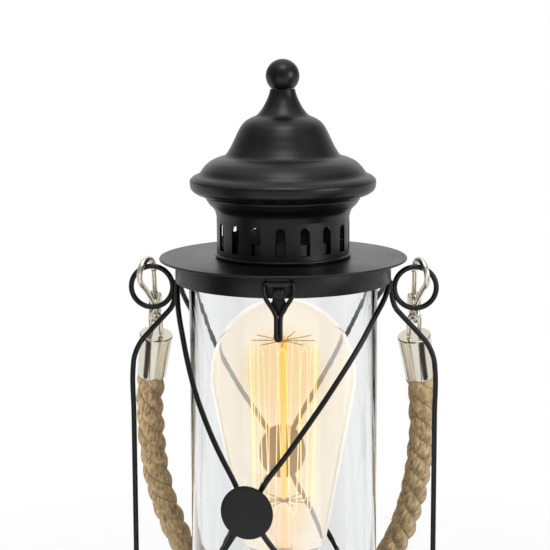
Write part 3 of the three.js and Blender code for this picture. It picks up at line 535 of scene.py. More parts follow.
def make_finishes():
    """Every finish of the lamp, from the settings."""
    look = bpy.context.scene.lantern_finish
    rope = bpy.context.scene.lantern_rope
    grain = surface_grain()

    def grained(name, colour, roughness, cloud, scale, **rest):
        """A finish on the surface grain."""
        values = {"Colour": (*colour, 1), "Roughness": roughness, "Cloud": cloud,
                  "Grain scale": scale}
        return material(name, grain, values, **rest)

    plated = {"bump": 0.006, "reach": 0.0001, "Metallic": 1.0}
    FINISHES.update(
        coat=grained("Satin black coat", look.coat_colour, look.coat_roughness, 0.1, 1100.0,
                     bump=0.12, reach=0.00012, Specular_IOR_Level=0.36),
        nickel=grained("Polished nickel", look.nickel_colour, 0.15, 0.06, 500.0, **plated),
        wire_nickel=grained("Nickel on wire", (0.78, 0.75, 0.66), 0.27, 0.06, 500.0, **plated),
        support=grained("Oxidised wire", (0.30, 0.19, 0.11), 0.5, 0.2, 900.0, Metallic=0.4),
        brass=grained("Plain brass", (0.56, 0.41, 0.17), 0.3, 0.15, 900.0, bump=0.05,
                      Metallic=1.0),
        steel=grained("Zinc steel", (0.5, 0.5, 0.52), 0.38, 0.2, 600.0, bump=0.08, Metallic=1.0),
        rubber=grained("Matt rubber", (0.02, 0.02, 0.02), 0.8, 0.2, 1500.0, bump=0.2),
        resin=grained("Moulded resin", (0.02, 0.019, 0.018), 0.45, 0.1, 1200.0, bump=0.1),
        fibre=grained("Stray jute fibre", rope.light_colour, 0.8, 0.3, 300.0),
        jute=material(
            "Laid jute", fibre_twist(),
            {"Dark": (*rope.dark_colour, 1), "Light": (*rope.light_colour, 1), "Lean": -0.55},
            bump=0.9, reach=0.0008, Specular_IOR_Level=0.25, Sheen_Weight=0.25,
            Sheen_Roughness=0.5),
        clear=material(
            "Clear drawn glass", drawn_glass(), {"Colour": (0.955, 0.96, 0.962, 1)}, bump=0.12,
            reach=0.0004, IOR=1.34, Transmission_Weight=1.0),
        # painted glow: the bulb's glass gives off light itself; its glow colour is set after this
        # list
        bulb=material(
            "Lit bulb glass", Base_Color=(*look.bulb_tint, 1), Roughness=0.0, IOR=1.12,
            Transmission_Weight=1.0, Emission_Strength=look.painted_glow_strength),
        # painted glow: the glass rod is no lamp, but its emission makes it shine yellow
        rod=material(
            "Lit glass rod", Base_Color=(0.88, 0.55, 0.13, 1), Roughness=0.2,
            Emission_Color=(1.0, 0.72, 0.14, 1), Emission_Strength=0.45),
        glow=material(
            "Glowing filament", Base_Color=(0.4, 0.2, 0.05, 1), Roughness=0.5,
            Emission_Color=(*look.glow_colour, 1), Emission_Strength=look.glow_strength),
    )
    # painted glow colour on the bulb's glass: amber where it faces the eye, pale grey towards its
    # edge
    paint_glass_glow(FINISHES["bulb"], (0.70, 0.40, 0.10, 1), (0.78, 0.79, 0.81, 1))


def paint_glass_glow(made, middle, edge):
    """Painted glow colour of the bulb's glass, which gives off light itself: one colour where it
    faces the eye, another towards its edge.
    """
    tree = made.node_tree
    facing = shader_node(tree, "LayerWeight", {"Blend": 0.35}).outputs["Facing"]
    colour = blended(tree, span(tree, facing, 0.05, 0.15), middle, edge)
    feed(tree, tree.nodes["Principled BSDF"], {"Emission Color": colour})


# Operators, one for each piece or group of like pieces


class LANTERN_OT_camera(bpy.types.Operator):
    """Place the camera at the picture's viewpoint"""

    bl_idname = "lantern.camera"
    bl_label = "Camera"

    def execute(self, context):
        lens = bpy.data.cameras.new("View")
        lens.sensor_width = 36
        lens.lens = context.scene.lantern_stage.focal_length
        eye = bpy.data.objects.new("View", lens)
        eye.location = (0.0292, -0.7320, 0.3378)
        sideways, down, roll = 2.56, 9.436, -0.226
        facing = Matrix.Identity(3)
        for axis, angle in (("Z", sideways), ("X", 90 - down), ("Z", roll)):
            facing = facing @ Matrix.Rotation(math.radians(angle), 3, axis)
        eye.rotation_euler = facing.to_euler()
        context.scene.collection.objects.link(eye)
        context.scene.camera = eye
        context.scene.view_settings.view_transform = "Standard"
        return {"FINISHED"}


class LANTERN_OT_stage(bpy.types.Operator):
    """Lay the floor, hang the lamps and set the white surroundings"""

    bl_idname = "lantern.stage"
    bl_label = "Stage"

    def execute(self, context):
        stage = context.scene.lantern_stage
        context.scene.world = self.surroundings(stage.sky_level)
        self.floor()
        key = self.lamp(context, "Key", (-0.9, -0.8, 0.75), 0.18, 0.7, stage.key_power)
        key.visible_glossy = False
        self.lamp(context, "Fill", (1.0, -0.6, 0.45), 0.16, 0.6, stage.fill_power)
        self.lamp(context, "Top", (0.05, -0.45, 1.25), 0.2, 0.5, stage.top_power)
        return {"FINISHED"}

    def surroundings(self, level):
        """White for the camera and through glass. Gloss sees a room that is white behind the lamp,
        bright overhead and dimmer in front and at its sides, with a lit and a dark screen on
        either side. Each stop has its place in half turns from the front, and its grey."""
        stops = ((0.0, 0.25), (0.1, 0.25), (0.14, 0.5), (0.2, 0.5), (0.22, 0.05), (0.3, 0.05),
                 (0.32, 0.4), (0.45, 0.28), (0.62, 0.28), (0.76, 0.55), (0.88, 1.0), (1.0, 1.0))
        world = bpy.data.worlds.new("Studio")
        world.use_nodes = True
        tree = world.node_tree
        tree.nodes.clear()
        place = split_up(tree, place_of(tree, "Generated"))
        ramp = shader_node(tree, "ValToRGB", {"Fac": half_turns(tree, place)})
        bands = ramp.color_ramp.elements
        for where, _ in stops[1:-1]:
            bands.new(where)
        for band, (_, grey) in zip(bands, stops):
            band.color = (grey, grey, grey, 1)
        seen, glossed = self.rays(tree)
        above = span(tree, place["Z"], 0.6, 0.85)
        room = blended(tree, above, ramp.outputs["Color"], (1.0, 1.0, 1.0, 1))
        plain = span(tree, seen, 0.0, 1.0, level)
        light = shader_node(tree, "Mix", {0: glossed, 2: plain, 3: room}, data_type="FLOAT")
        inputs = {"Color": (1, 1, 1, 1), "Strength": light.outputs[0]}
        sky = shader_node(tree, "Background", inputs)
        shader_node(tree, "OutputWorld", {"Surface": sky.outputs[0]})
        return world

    def rays(self, tree):
        """Two masks. The first is for rays from the eye, straight or through glass; the second is
        for rays from a gloss, also where they leave through glass."""
        path = shader_node(tree, "LightPath").outputs
        through_glass = path["Is Transmission Ray"]
        turned_back = reckon(tree, "MINIMUM", path["Glossy Depth"], 1.0)
        straight = reckon(tree, "MULTIPLY", through_glass,
                          reckon(tree, "SUBTRACT", 1.0, turned_back))
        seen = reckon(tree, "MAXIMUM", path["Is Camera Ray"], straight)
        first = reckon(tree, "MULTIPLY", path["Is Glossy Ray"],
                       reckon(tree, "SUBTRACT", 1.0, through_glass))
        later = reckon(tree, "MULTIPLY", through_glass, turned_back)
        return seen, reckon(tree, "MAXIMUM", first, later)

    def floor(self):
        """A pale disc: shaded near the lamp, where it keeps the shadow, and white further out.
        Gloss sees it darker in front, and nearly black where the screens stand."""
        made = bpy.data.materials.new("Pale floor")
        made.use_nodes = True
        tree = made.node_tree
        pale = tree.nodes["Principled BSDF"]
        feed(tree, pale, {"Base Color": (0.86, 0.86, 0.86, 1), "Roughness": 0.9})
        far = shader_node(tree, "VectorMath", {0: place_of(tree)}, operation="LENGTH")
        far = far.outputs["Value"]
        place = split_up(tree, place_of(tree))
        seen, glossed = self.rays(tree)
        behind = span(tree, place["Y"], -0.6, 0.3, 0.08)
        seen = reckon(tree, "MAXIMUM", seen, reckon(tree, "MULTIPLY", glossed, behind))
        lit = reckon(tree, "MULTIPLY", span(tree, far, 0.16, 0.42), seen)
        white = shader_node(tree, "Emission")
        dark = shader_node(tree, "Emission", {"Color": (0.05, 0.045, 0.04, 1)})
        ground = shader_node(tree, "MixShader", {0: lit, 1: pale.outputs[0], 2: white.outputs[0]})
        screened = shader_node(tree, "MixShader", {
            0: self.screens(tree, place, far, glossed), 1: ground.outputs[0], 2: dark.outputs[0],
        })
        feed(tree, tree.nodes["Material Output"], {"Surface": screened.outputs[0]})
        disc = turned([(0, 0), (300, 0), (900, 0), (6000, 0), (6000, -1), (0, -1)], 96)
        shown("Floor", disc, made)

    def screens(self, tree, place, far, glossed):
        """Where gloss sees a dark screen on the floor: 0.26 to 0.45 of a half turn from the
        front, on either side, and more than 0.2 m out."""
        off = reckon(tree, "ABSOLUTE", reckon(tree, "SUBTRACT", half_turns(tree, place), 0.355))
        inside = reckon(tree, "MULTIPLY", reckon(tree, "LESS_THAN", off, 0.095),
                        reckon(tree, "GREATER_THAN", far, 0.2))
        return reckon(tree, "MULTIPLY", inside, glossed)

    def lamp(self, context, name, place, goal_height, size, power):
        """A square soft lamp that faces a point on the lantern's axis."""
        light = bpy.data.lights.new(name, "AREA")
        light.size, light.energy = size, power
        obj = bpy.data.objects.new(name, light)
        obj.location = place
        aim = Vector((0.0, 0.0, goal_height)) - Vector(place)
        obj.rotation_euler = aim.to_track_quat("-Z", "Y").to_euler()
        context.scene.collection.objects.link(obj)
        return obj


def on_handle(points):
    """Handle's own frame to the lamp's: leaned back about X, then lifted to the swing axis."""
    return np.asarray(points, float) @ about("X", HANDLE_LEAN).T + (0, 0, PIVOT_Z)


def handle_part(part):
    """A part in the handle's own frame, set into the lamp's."""
    return (on_handle(part[0]), *part[1:])


def down_the_ferrule(depth):
    """A point on the ferrule's axis, across and down, at a depth below its crown."""
    return (FERRULE_X + depth * math.sin(FERRULE_SPLAY),
            FERRULE_DROP + depth * math.cos(FERRULE_SPLAY))


class LANTERN_OT_rope(bpy.types.Operator):
    """Lay the three-strand rope handle and its stray fibres"""

    bl_idname = "lantern.rope"
    bl_label = "Rope handle"

    def execute(self, context):
        rope = context.scene.lantern_rope
        radius = rope.diameter / MM / 2
        grip, mouth = 12, FERRULE_LENGTH + 0.6
        half = np.array([down_the_ferrule(grip), down_the_ferrule(mouth), *ROPE_LINE])
        flat = through(np.vstack([half, half[-2::-1] * (-1, 1)]), 640)
        centre = standing(flat * (1, -1), HANDLE_BACK)
        step = np.linalg.norm(np.diff(centre, axis=0), axis=1)
        along = np.concatenate([[0], np.cumsum(step)])
        part, uv = self.laid(centre, along[:, None], radius, rope.lay / MM)
        obj = piece("laid_rope", [handle_part(part)], "handle_rope", "jute", "handle", 180, uv)
        route = on_handle(centre)[np.linspace(0, len(centre) - 1, 40).astype(int)] * MM
        fibres = self.stray(centre, radius, rope.stray_fibres)
        piece("rope_fibres", [handle_part(fibres)], None, "fibre", "handle")
        return {"FINISHED"}

    def axes(self, centre):
        """Direction of the rope's middle line, and two directions square to it."""
        t = unit(np.gradient(centre, axis=0))
        n = np.tile([0.0, 1.0, 0.0], (len(centre), 1))
        return t, n, np.cross(t, n)

    def laid(self, centre, s, radius, lay):
        """Three strands laid round a line. With f the angle from a strand's middle, the surface is
        a cos f + sqrt(b^2 - a^2 sin^2 f) from the line, where a is the strands' offset and b their
        radius, which swells a little along the rope. The middles turn once in every lay, and
        shallow ridges of yarn and thread wind against them."""
        offset, strand = 0.31 * radius, 0.69 * radius
        cols = 90
        third = ROUND / 3
        c = np.arange(cols) / cols * ROUND
        f = (c + third / 2) % third - third / 2
        which = np.floor((c + third / 2) / third) % 3
        f = f[None, :] + 0 * s
        slow, quick = 0.04 * np.sin(s / 7.3 + 2.1 * which), 0.03 * np.sin(s / 3.1 + 4.0 * which)
        b = strand * (1 + slow + quick)
        r = offset * np.cos(f) + np.sqrt(np.maximum(b**2 - (offset * np.sin(f)) ** 2, 0))
        around = np.arctan2(r * np.sin(f), r * np.cos(f) - offset)
        wound = ROUND * s / lay
        yarns, yarn_turns, yarn_height = 5, 7.0, 0.16
        threads, thread_turns, thread_height = 11, 15.0, 0.09
        yarn = np.cos(yarns * around - wound * yarn_turns + 1.7 * which)
        waver = 3.0 * np.sin(s / 5.3 + which)
        thread = np.sin(threads * around - wound * thread_turns + waver)
        ridge = yarn_height * yarn + thread_height * thread
        r = (r + ridge * np.cos(f * 1.2))[..., None]
        angle = (c[None, :] - wound)[..., None]
        _, n, side = self.axes(centre)
        grid = centre[:, None] + r * (np.cos(angle) * n[:, None] + np.sin(angle) * side[:, None])
        part = skin(grid, poles=(centre[0], centre[-1]))
        # the unrolled place of each quad's corners: along the rope, and round its strand
        u = np.broadcast_to(s / 10.0, f.shape)
        v = around / ROUND + which[None, :]
        corner = part[1] // cols, part[1] % cols
        return part, np.stack([u[corner], v[corner]], axis=-1).reshape(-1, 2)

    def stray(self, centre, radius, count):
        """Short hairs: each starts on the rope and bends away, a thin three-sided tube along a
        parabola out of the surface."""
        knots, sides, margin, depth, thick = 6, 3, 40, 0.86, 0.075
        rng = np.random.default_rng(11)
        at = rng.integers(margin, len(centre) - margin, count)
        a = rng.uniform(0, ROUND, count)[:, None]
        t, n, b = (v[at] for v in self.axes(centre))
        out = np.cos(a) * n + np.sin(a) * b
        side = np.cross(t, out)
        root = centre[at] + out * (radius * depth)
        lean = rng.normal(0, 0.8, (count, 1)) * side + rng.normal(0, 1.0, (count, 1)) * t
        length = rng.gamma(2.0, 1.1, (count, 1)).clip(0.8, 6.0)[:, None]
        curl = rng.normal(0, 0.5, (count, 1, 3))
        x = np.linspace(0, 1, knots)[None, :, None]
        path = (root[:, None] + x * length * (0.45 * out + 0.6 * unit(lean))[:, None]
                + x**2 * length * curl * 0.5)
        along = np.gradient(path, axis=1)
        across = unit(np.cross(along, out[:, None] + 0.01))
        lift = np.cross(across, unit(along))
        thin = (thick * (1 - 0.75 * x))[..., None]
        turn = np.radians([90, 210, 330])[None, None, :, None]
        grid = path[:, :, None] + thin * (np.cos(turn) * across[:, :, None]
                                          + np.sin(turn) * lift[:, :, None])
        base = (np.arange(count) * knots * sides)[:, None, None]
        r, c = np.meshgrid(np.arange(knots - 1), np.arange(sides), indexing="ij")
        c1 = (c + 1) % sides
        low, high = r * sides, (r + 1) * sides
        quad = np.stack([low + c, low + c1, high + c1, high + c], axis=-1)
        corner = np.arange(sides)
        ends = np.stack([corner[::-1], (knots - 1) * sides + corner])[None]
        return (grid.reshape(-1, 3), (base + quad.reshape(1, -1, 4)).reshape(-1, 4),
                (base + ends).reshape(-1, 3))


class LANTERN_OT_base(bpy.types.Operator):
    """Spin the base and set its pad and cable inlet"""

    bl_idname = "lantern.base"
    bl_label = "Base"

    def execute(self, context):
        line = np.vstack([
            [(70.0, 1.7)], arc((68.5, 6.5), 1.5, 0, 90, 12),
            [(64, 8.0)], arc((60, 14.5), 6.5, 270, 180, 20),
            arc((51.5, 28.0), 2.0, 0, 90, 14), [(40, 30), (5.3, 30)],
        ])
        shell = turned(sheet_of(line, 1.2), FINE, closes=True)
        bead = turned(arc((54.0, 15.6), 0.7, 0, 360, 25)[:-1], FINE, closes=True)
        piece("spun_base", [shell, bead], "base_shell")
        lip = [(3.2, -2.9), (5.2, -2.9), (5.8, -2.5), (5.8, -1.5), (4.7, -1.5), (4.7, 0.9),
               (6.6, 0.9), (6.6, 1.6), (6.2, 2.1), (5.4, 2.3), (3.2, 2.3)]
        inlet = moved(turned(lip, 64, closes=True), (0, 52.9, 21), about("X", -UPRIGHT))
        piece("cable_inlet", [inlet], "cable_grommet", "rubber")
        edge = arc((63.2, 1.2), 0.8, 0, 90, 8)
        pad = turned(np.vstack([[(0, 0), (63.6, 0), (64, 0.4)], edge, [(0, 2.0)]]), 160)
        piece("soft_pad", [pad], "base_pad", "rubber")
        return {"FINISHED"}


class LANTERN_OT_glass(bpy.types.Operator):
    """Roll the two bands and draw the glass cylinder"""

    bl_idname = "lantern.glass"
    bl_label = "Glass and bands"

    def execute(self, context):
        wall, ease = 1.4, 0.5
        right, left = GLASS_R - ease, GLASS_R - wall + ease
        low, high = 32.1 + ease, PLATE_Z - 2.0 - ease
        corners = ((right, low, -90), (right, high, 0), (left, high, 90), (left, low, 180))
        profile = np.vstack([arc((r, z), ease, a, a + 90, 6) for r, z, a in corners])
        piece("clear_cylinder", [turned(profile, FINE, closes=True)], "glass_cylinder", "clear")
        rim = turned(self.band(), FINE, closes=True)
        piece("top_band", [moved(rim, (0, 0, BAND_TOP))], "rim_band")
        piece("foot_band", [moved(rim, (0, 0, DRUM_TOP), about("X", math.pi))], "lower_band")
        seat = [(35.5, 0), (40.5, 0), (40.5, 1.2), (40.2, 1.5), (35.8, 1.5), (35.5, 1.2)]
        piece("soft_seat", [turned(seat, 128, closes=True, lift=DRUM_TOP)], "glass_seat", "rubber")
        return {"FINISHED"}

    def band(self):
        """Angle-section profile: a flange inwards at the top, and a side with rounded corners."""
        r, hole, low = BAND_R, 40.8, -BAND_H + 0.3
        return np.vstack([
            [(hole, 0)], arc((r - 0.6, -0.6), 0.6, 90, 0, 7), arc((r - 0.3, low), 0.3, 0, -90, 5),
            arc((r - 0.7, low), 0.3, 270, 180, 5), [(r - 1, -1.2), (r - 1.2, -1), (hole, -1)],
        ])


class LANTERN_OT_cage(bpy.types.Operator):
    """Bend the side wires, the crossed wires and their discs"""

    bl_idname = "lantern.cage"
    bl_label = "Wire cage"

    def execute(self, context):
        wire = self.side_wire()
        piece("right_side_wire", wire, "right_guard_wire")
        piece("left_side_wire", [mirrored(p) for p in wire], "left_guard_wire")
        crossed = (("front_left", -1, -1, 1), ("front_right", 1, -1, -1), ("rear_left", -1, 1, 1),
                   ("rear_right", 1, 1, -1))
        for name, side, facing, step in crossed:
            path, outside = self.cross_path(side, facing, step * CROSS_STEP)
            welds = [self.blob(path[k] + (path[m] - path[k]) * 0.1, (1.5, 1.5, 1.5))
                     for k, m in ((0, 1), (-1, -2))]
            piece(f"{name}_cross_wire", [tube(path, WIRE_R, 16, outside), *welds], f"{name}_wire")
        self.discs()
        self.catch()
        return {"FINISHED"}

    def side_wire(self):
        """The wire down the right side, its ring, the weld where they meet and the weld at its
        foot. The wire follows the table of shares to its bend's end and then runs straight down."""
        top = BAND_LOW - SEAT_GAP
        bend = RING_DROP + 4 * RING_R - (PLATE_Z - top)
        across, down = np.array(GUARD_SHARES).T
        x = BAND_R + across * (GUARD_X - BAND_R)
        z = top - down * bend
        upright = z[-1] - FOOT_Z
        legs = [(GUARD_X, FOOT_Z + upright * (1 - k)) for k in (0.12, 0.5, 1)]
        path = standing(through(np.vstack([np.c_[x, z], legs]), 150))
        a = ring_angles(84)
        ring = np.c_[RING_X + RING_R * np.cos(a), 0 * a, RING_Z + RING_R * np.sin(a)]
        weld = self.blob((BAND_R + 0.2, 0, RING_Z - 0.4), (1.0, 1.3, 2.6))
        foot = self.blob((GUARD_X, 0, FOOT_Z + 0.1), (1.9, 1.9, 0.9))
        return [tube(path, WIRE_R, 18), tube(ring, WIRE_R, 18, closed=True), weld, foot]

    def blob(self, centre, radii):
        """An ellipsoid: centre + (a cos v cos u, b cos v sin u, c sin v)."""
        v = np.radians(np.linspace(-78, 78, 11))[:, None]
        u = ring_angles(20)[None, :]
        grid = np.stack([np.cos(v) * np.cos(u), np.cos(v) * np.sin(u), np.sin(v) + 0 * u], axis=-1)
        up = np.array([0, 0, radii[2]])
        return skin(grid * radii + centre, poles=(np.asarray(centre) - up, np.asarray(centre) + up))

    def cross_path(self, side, facing, step):
        """A wire over the glass. Its angle and height follow the tables of shares, smoothed with
        the angle at 0.8 of its size; its radius comes in to the bands' at the ends, over 40 mm of
        height, and steps out or in where the wires cross, within 14 mm of height."""
        slant, flat, run_in, step_half = 0.75, 0.8, 40, 14
        top, foot, middle = BAND_LOW - slant, LOWER_TOP + slant, CROSSING_Z
        disc = DISC_ANGLES[facing]
        rows = {s: np.array(STEEP_SHARES if s * disc > 0 else FLAT_SHARES) for s in (side, -side)}
        upper, lower = rows[side], rows[-side][:-1][::-1]
        reach = side * CROSS_REACH - disc, -side * CROSS_REACH - disc
        upper = np.c_[disc + upper[:, 0] * reach[0], top - upper[:, 1] * (top - middle)]
        lower = np.c_[disc + lower[:, 0] * reach[1], foot + lower[:, 1] * (middle - foot)]
        line = through(np.vstack([upper, lower]) * (flat, 1), 170) * (1 / flat, 1)
        angle, z = np.radians(line[:, 0]), line[:, 1]
        ends = np.minimum(np.minimum((top - z) / run_in, (z - foot) / run_in), 1)
        near = np.maximum(0, 1 - np.abs(z - middle) / step_half)
        ease = near * near * (3 - 2 * near)
        radius = CAGE_R - (CAGE_R - BAND_R + 1) * (1 - ends) ** 2 + step * ease
        outside = np.c_[np.sin(angle), facing * np.cos(angle), 0 * z]
        return outside * radius[:, None] + np.c_[0 * z, 0 * z, z], outside

    def discs(self):
        """The round plates over the crossings: thin discs with an eased edge, slightly domed."""
        half = 0.6
        out = CAGE_R + CROSS_STEP + WIRE_R + SEAT_GAP + half
        disc = turned(np.vstack([
            [(0, -half), (DISC_R - 0.3, -half), (DISC_R, -0.3)],
            arc((DISC_R - 0.4, 0.2), 0.4, 0, 90, 6), [(9, 0.66), (5, 0.72), (0, 0.75)],
        ]), 96)
        for name, facing in (("front", -1), ("rear", 1)):
            a = math.radians(DISC_ANGLES[facing])
            turn = about("Z", -facing * a) @ about("X", -facing * UPRIGHT)
            place = (out * math.sin(a), facing * out * math.cos(a), CROSSING_Z)
            piece(f"{name}_round_plate", [moved(disc, place, turn)], f"{name}_disc")

    def catch(self):
        """The spade plate on the band's front, and its button."""
        half = np.array([(2.5, 0), (2.5, -3.5), (2.5, -4.9), (2.9, -5.9), (3.55, -6.8), (3.7, -7.8),
                         (3.3, -9.2), (2.4, -10.6), (1.2, -11.6), (0, -11.8)])
        right = np.vstack([half[:2], through(half[2:], 30)])
        thick, drop, button_out, button_drop = 0.4, 5.7, 47.7, 8
        plate = slab(np.vstack([right, right[-2::-1] * (-1, 1)]), thick, 0.12)
        turn = about("X", UPRIGHT)
        place = (0, -(BAND_R + SEAT_GAP + thick), PLATE_Z - drop)
        piece("spade_plate", [moved(plate, place, turn)], "catch_plate", crease=50)
        button = turned(np.vstack([[(0, 0), (2.2, 0), (2.4, 0.2)], arc((1.6, 0.5), 0.8, 10, 80, 8),
                                   [(0.8, 1.22), (0, 1.25)]]), 48)
        place = (0, -button_out, PLATE_Z - button_drop)
        piece("button", [moved(button, place, turn)], "catch_button")


class LANTERN_OT_roof(bpy.types.Operator):
    """Spin the lid plate, the pierced collar, the bell roof and the ball"""

    bl_idname = "lantern.roof"
    bl_label = "Lid and roof"

    def execute(self, context):
        hole = CHIMNEY_R - 2.7
        rim = np.vstack([
            [(hole, -1)], arc((PLATE_R - 0.5, -0.5), 0.5, -90, 90, 12),
            [(hole + 1.3, 0.0)], arc((hole + 1.2, 0.4), 0.4, 270, 180, 6),
            arc((hole + 0.4, 8.2), 0.4, 0, 180, 10),
        ])
        seat = math.sqrt(BALL_R**2 - BALL_SEAT_R**2)
        start = -math.degrees(math.asin(seat / BALL_R))
        ball = np.vstack([[(0, -seat - 11), (1.5, -seat - 11), (1.8, -seat - 10.6), (1.8, -seat)],
                          arc((0, 0), BALL_R, start, 90, 40)])
        crown = DOME_Z + DOME_H + SEAT_GAP
        for name, parts, node in (
            ("wide_plate", [turned(rim, 224, closes=True, lift=PLATE_Z)], "lid_plate"),
            ("pierced_collar", [self.pierced(), self.cove(), self.foot_bead()], "chimney"),
            ("bell_roof", [turned(self.bell(), FINE, closes=True, lift=DOME_Z)], "roof_dome"),
            ("ball", [turned(ball, 96, lift=crown + seat)], "finial_ball"),
        ):
            piece(name, parts, node, body="lid")
        return {"FINISHED"}

    def bell(self):
        """The roof's outline as a smooth line, with a thin wall and a turned-in seat."""
        wall, hole = 0.9, 2.1
        line = through(np.array(DOME_SHARES) * (DOME_R, DOME_H), 150)
        closed = sheet_of(line, wall)
        n = len(line)
        seat = line[0, 0] - 2.9
        top = [(hole, DOME_H), (hole, DOME_H - wall), (line[-1, 0] - wall, DOME_H - wall)]
        return np.vstack([closed[:n], top, closed[n + 1: -1], [(seat, wall), (seat, 0.0)]])

    def cove(self):
        """The collar's flared top, a smooth sheet line turned round."""
        start = CHIMNEY_R, CHIMNEY_WALL_H
        reach = CHIMNEY_FLARE, CHIMNEY_H - CHIMNEY_WALL_H
        end, wall = CHIMNEY_R + CHIMNEY_FLARE, 1.0
        line = np.vstack([through(np.array(COVE_SHARES) * reach + start, 40),
                          [(end, CHIMNEY_H - 0.2), (end - 0.2, CHIMNEY_H)]])
        closed = sheet_of(line, wall)
        closed[len(line)] = (end - wall, CHIMNEY_H)
        return turned(closed, FINE, closes=True, lift=PLATE_Z)

    def foot_bead(self):
        """A slim bead round the collar's foot, half a circle that stands out of the wall."""
        bead = arc((CHIMNEY_R, 1.1), 0.7, -90, 90, 12)
        back = CHIMNEY_R - 0.4
        profile = np.vstack([bead, [(back, 1.8), (back, 0.4)]])
        return turned(profile, FINE, closes=True, lift=PLATE_Z)

    def pierced(self):
        """The wall with its arched windows. Each panel is a fan of rays from the window's middle:
        a ray leaves the window's edge at one distance and the panel's edge at another, the points
        between are spaced evenly, and (x, z) is wrapped round as angle x / R."""
        wall, low, high, mid = 1.0, 0.3, 17.42, 9.6
        rays, rows, digits = 56, 6, 7
        spring = WINDOW_TOP - WINDOW_HALF
        side = math.pi * CHIMNEY_R / WINDOWS
        corners = [(side, high), (side, low), (WINDOW_HALF, WINDOW_LOW), (WINDOW_HALF, spring)]
        a = np.array([math.atan2(z - mid, x) for x, z in corners])
        even = np.linspace(-math.pi, math.pi, rays, endpoint=False)
        a = np.concatenate([a, np.pi - a, even]) % ROUND
        a = np.unique(np.round(a, digits) % round(ROUND, digits))
        c, s = np.cos(a), np.sin(a)
        with np.errstate(divide="ignore", invalid="ignore"):
            h = spring - mid
            to_floor = np.where(s < 0, (WINDOW_LOW - mid) / s, np.inf)
            to_arch = h * s + np.sqrt(np.maximum(WINDOW_HALF**2 - (h * c) ** 2, 0))
            hole = np.minimum(WINDOW_HALF / np.abs(c), to_floor)
            hole = np.where(mid + hole * s > spring - 1e-9, to_arch, hole)
            to_end = np.where(s > 0, (high - mid) / s, np.where(s < 0, (low - mid) / s, np.inf))
            edge = np.minimum(side / np.abs(c), to_end)
        reach = hole + np.linspace(0, 1, rows)[:, None] * (edge - hole)
        x, z = reach * c, mid + reach * s
        angle = x / CHIMNEY_R
        flat = np.concatenate([
            np.stack([r * np.sin(angle), -r * np.cos(angle), z], axis=-1).reshape(-1, 3)
            for r in (CHIMNEY_R, CHIMNEY_R - wall)
        ])
        quads = self.panel_quads(*x.shape, z[-1], np.isclose(z[-1], high) | np.isclose(z[-1], low))
        turns = ROUND * np.arange(WINDOWS) / WINDOWS
        verts = np.concatenate([flat @ about("Z", t).T for t in turns])
        quads = np.concatenate([quads + i * len(flat) for i in range(WINDOWS)])
        verts, quads = self.merged(verts, quads)
        if fullness(verts, quads) < 0:
            quads = quads[:, ::-1]
        return verts + (0, 0, PLATE_Z), quads, np.zeros((0, 3), int)

    def panel_quads(self, rows, cols, z, level):
        """Quads of one panel: its outside, its inside, the window's jamb, and the rim along the
        panel's top and foot, where two neighbours are level."""
        r, q = np.meshgrid(np.arange(rows - 1), np.arange(cols), indexing="ij")
        r, q = r.ravel(), q.ravel()
        q1 = (q + 1) % cols
        outer = np.c_[r * cols + q, (r + 1) * cols + q, (r + 1) * cols + q1, r * cols + q1]
        through_wall = rows * cols
        inner = outer[:, ::-1] + through_wall
        q = np.arange(cols)
        q1 = (q + 1) % cols
        jamb = np.c_[q, q1, q1 + through_wall, q + through_wall]
        last = (rows - 1) * cols
        keep = level & np.roll(level, -1) & np.isclose(z[q], z[q1])
        a, b = last + q[keep], last + q1[keep]
        return np.vstack([outer, inner, jamb, np.c_[b, a, a + through_wall, b + through_wall]])

    def merged(self, verts, faces):
        """Points within a thousandth of a millimetre become one."""
        near = 0.001
        key = np.round(verts / near).astype(np.int64)
        _, first, back = np.unique(key, axis=0, return_index=True, return_inverse=True)
        return verts[first], back.reshape(-1)[faces]


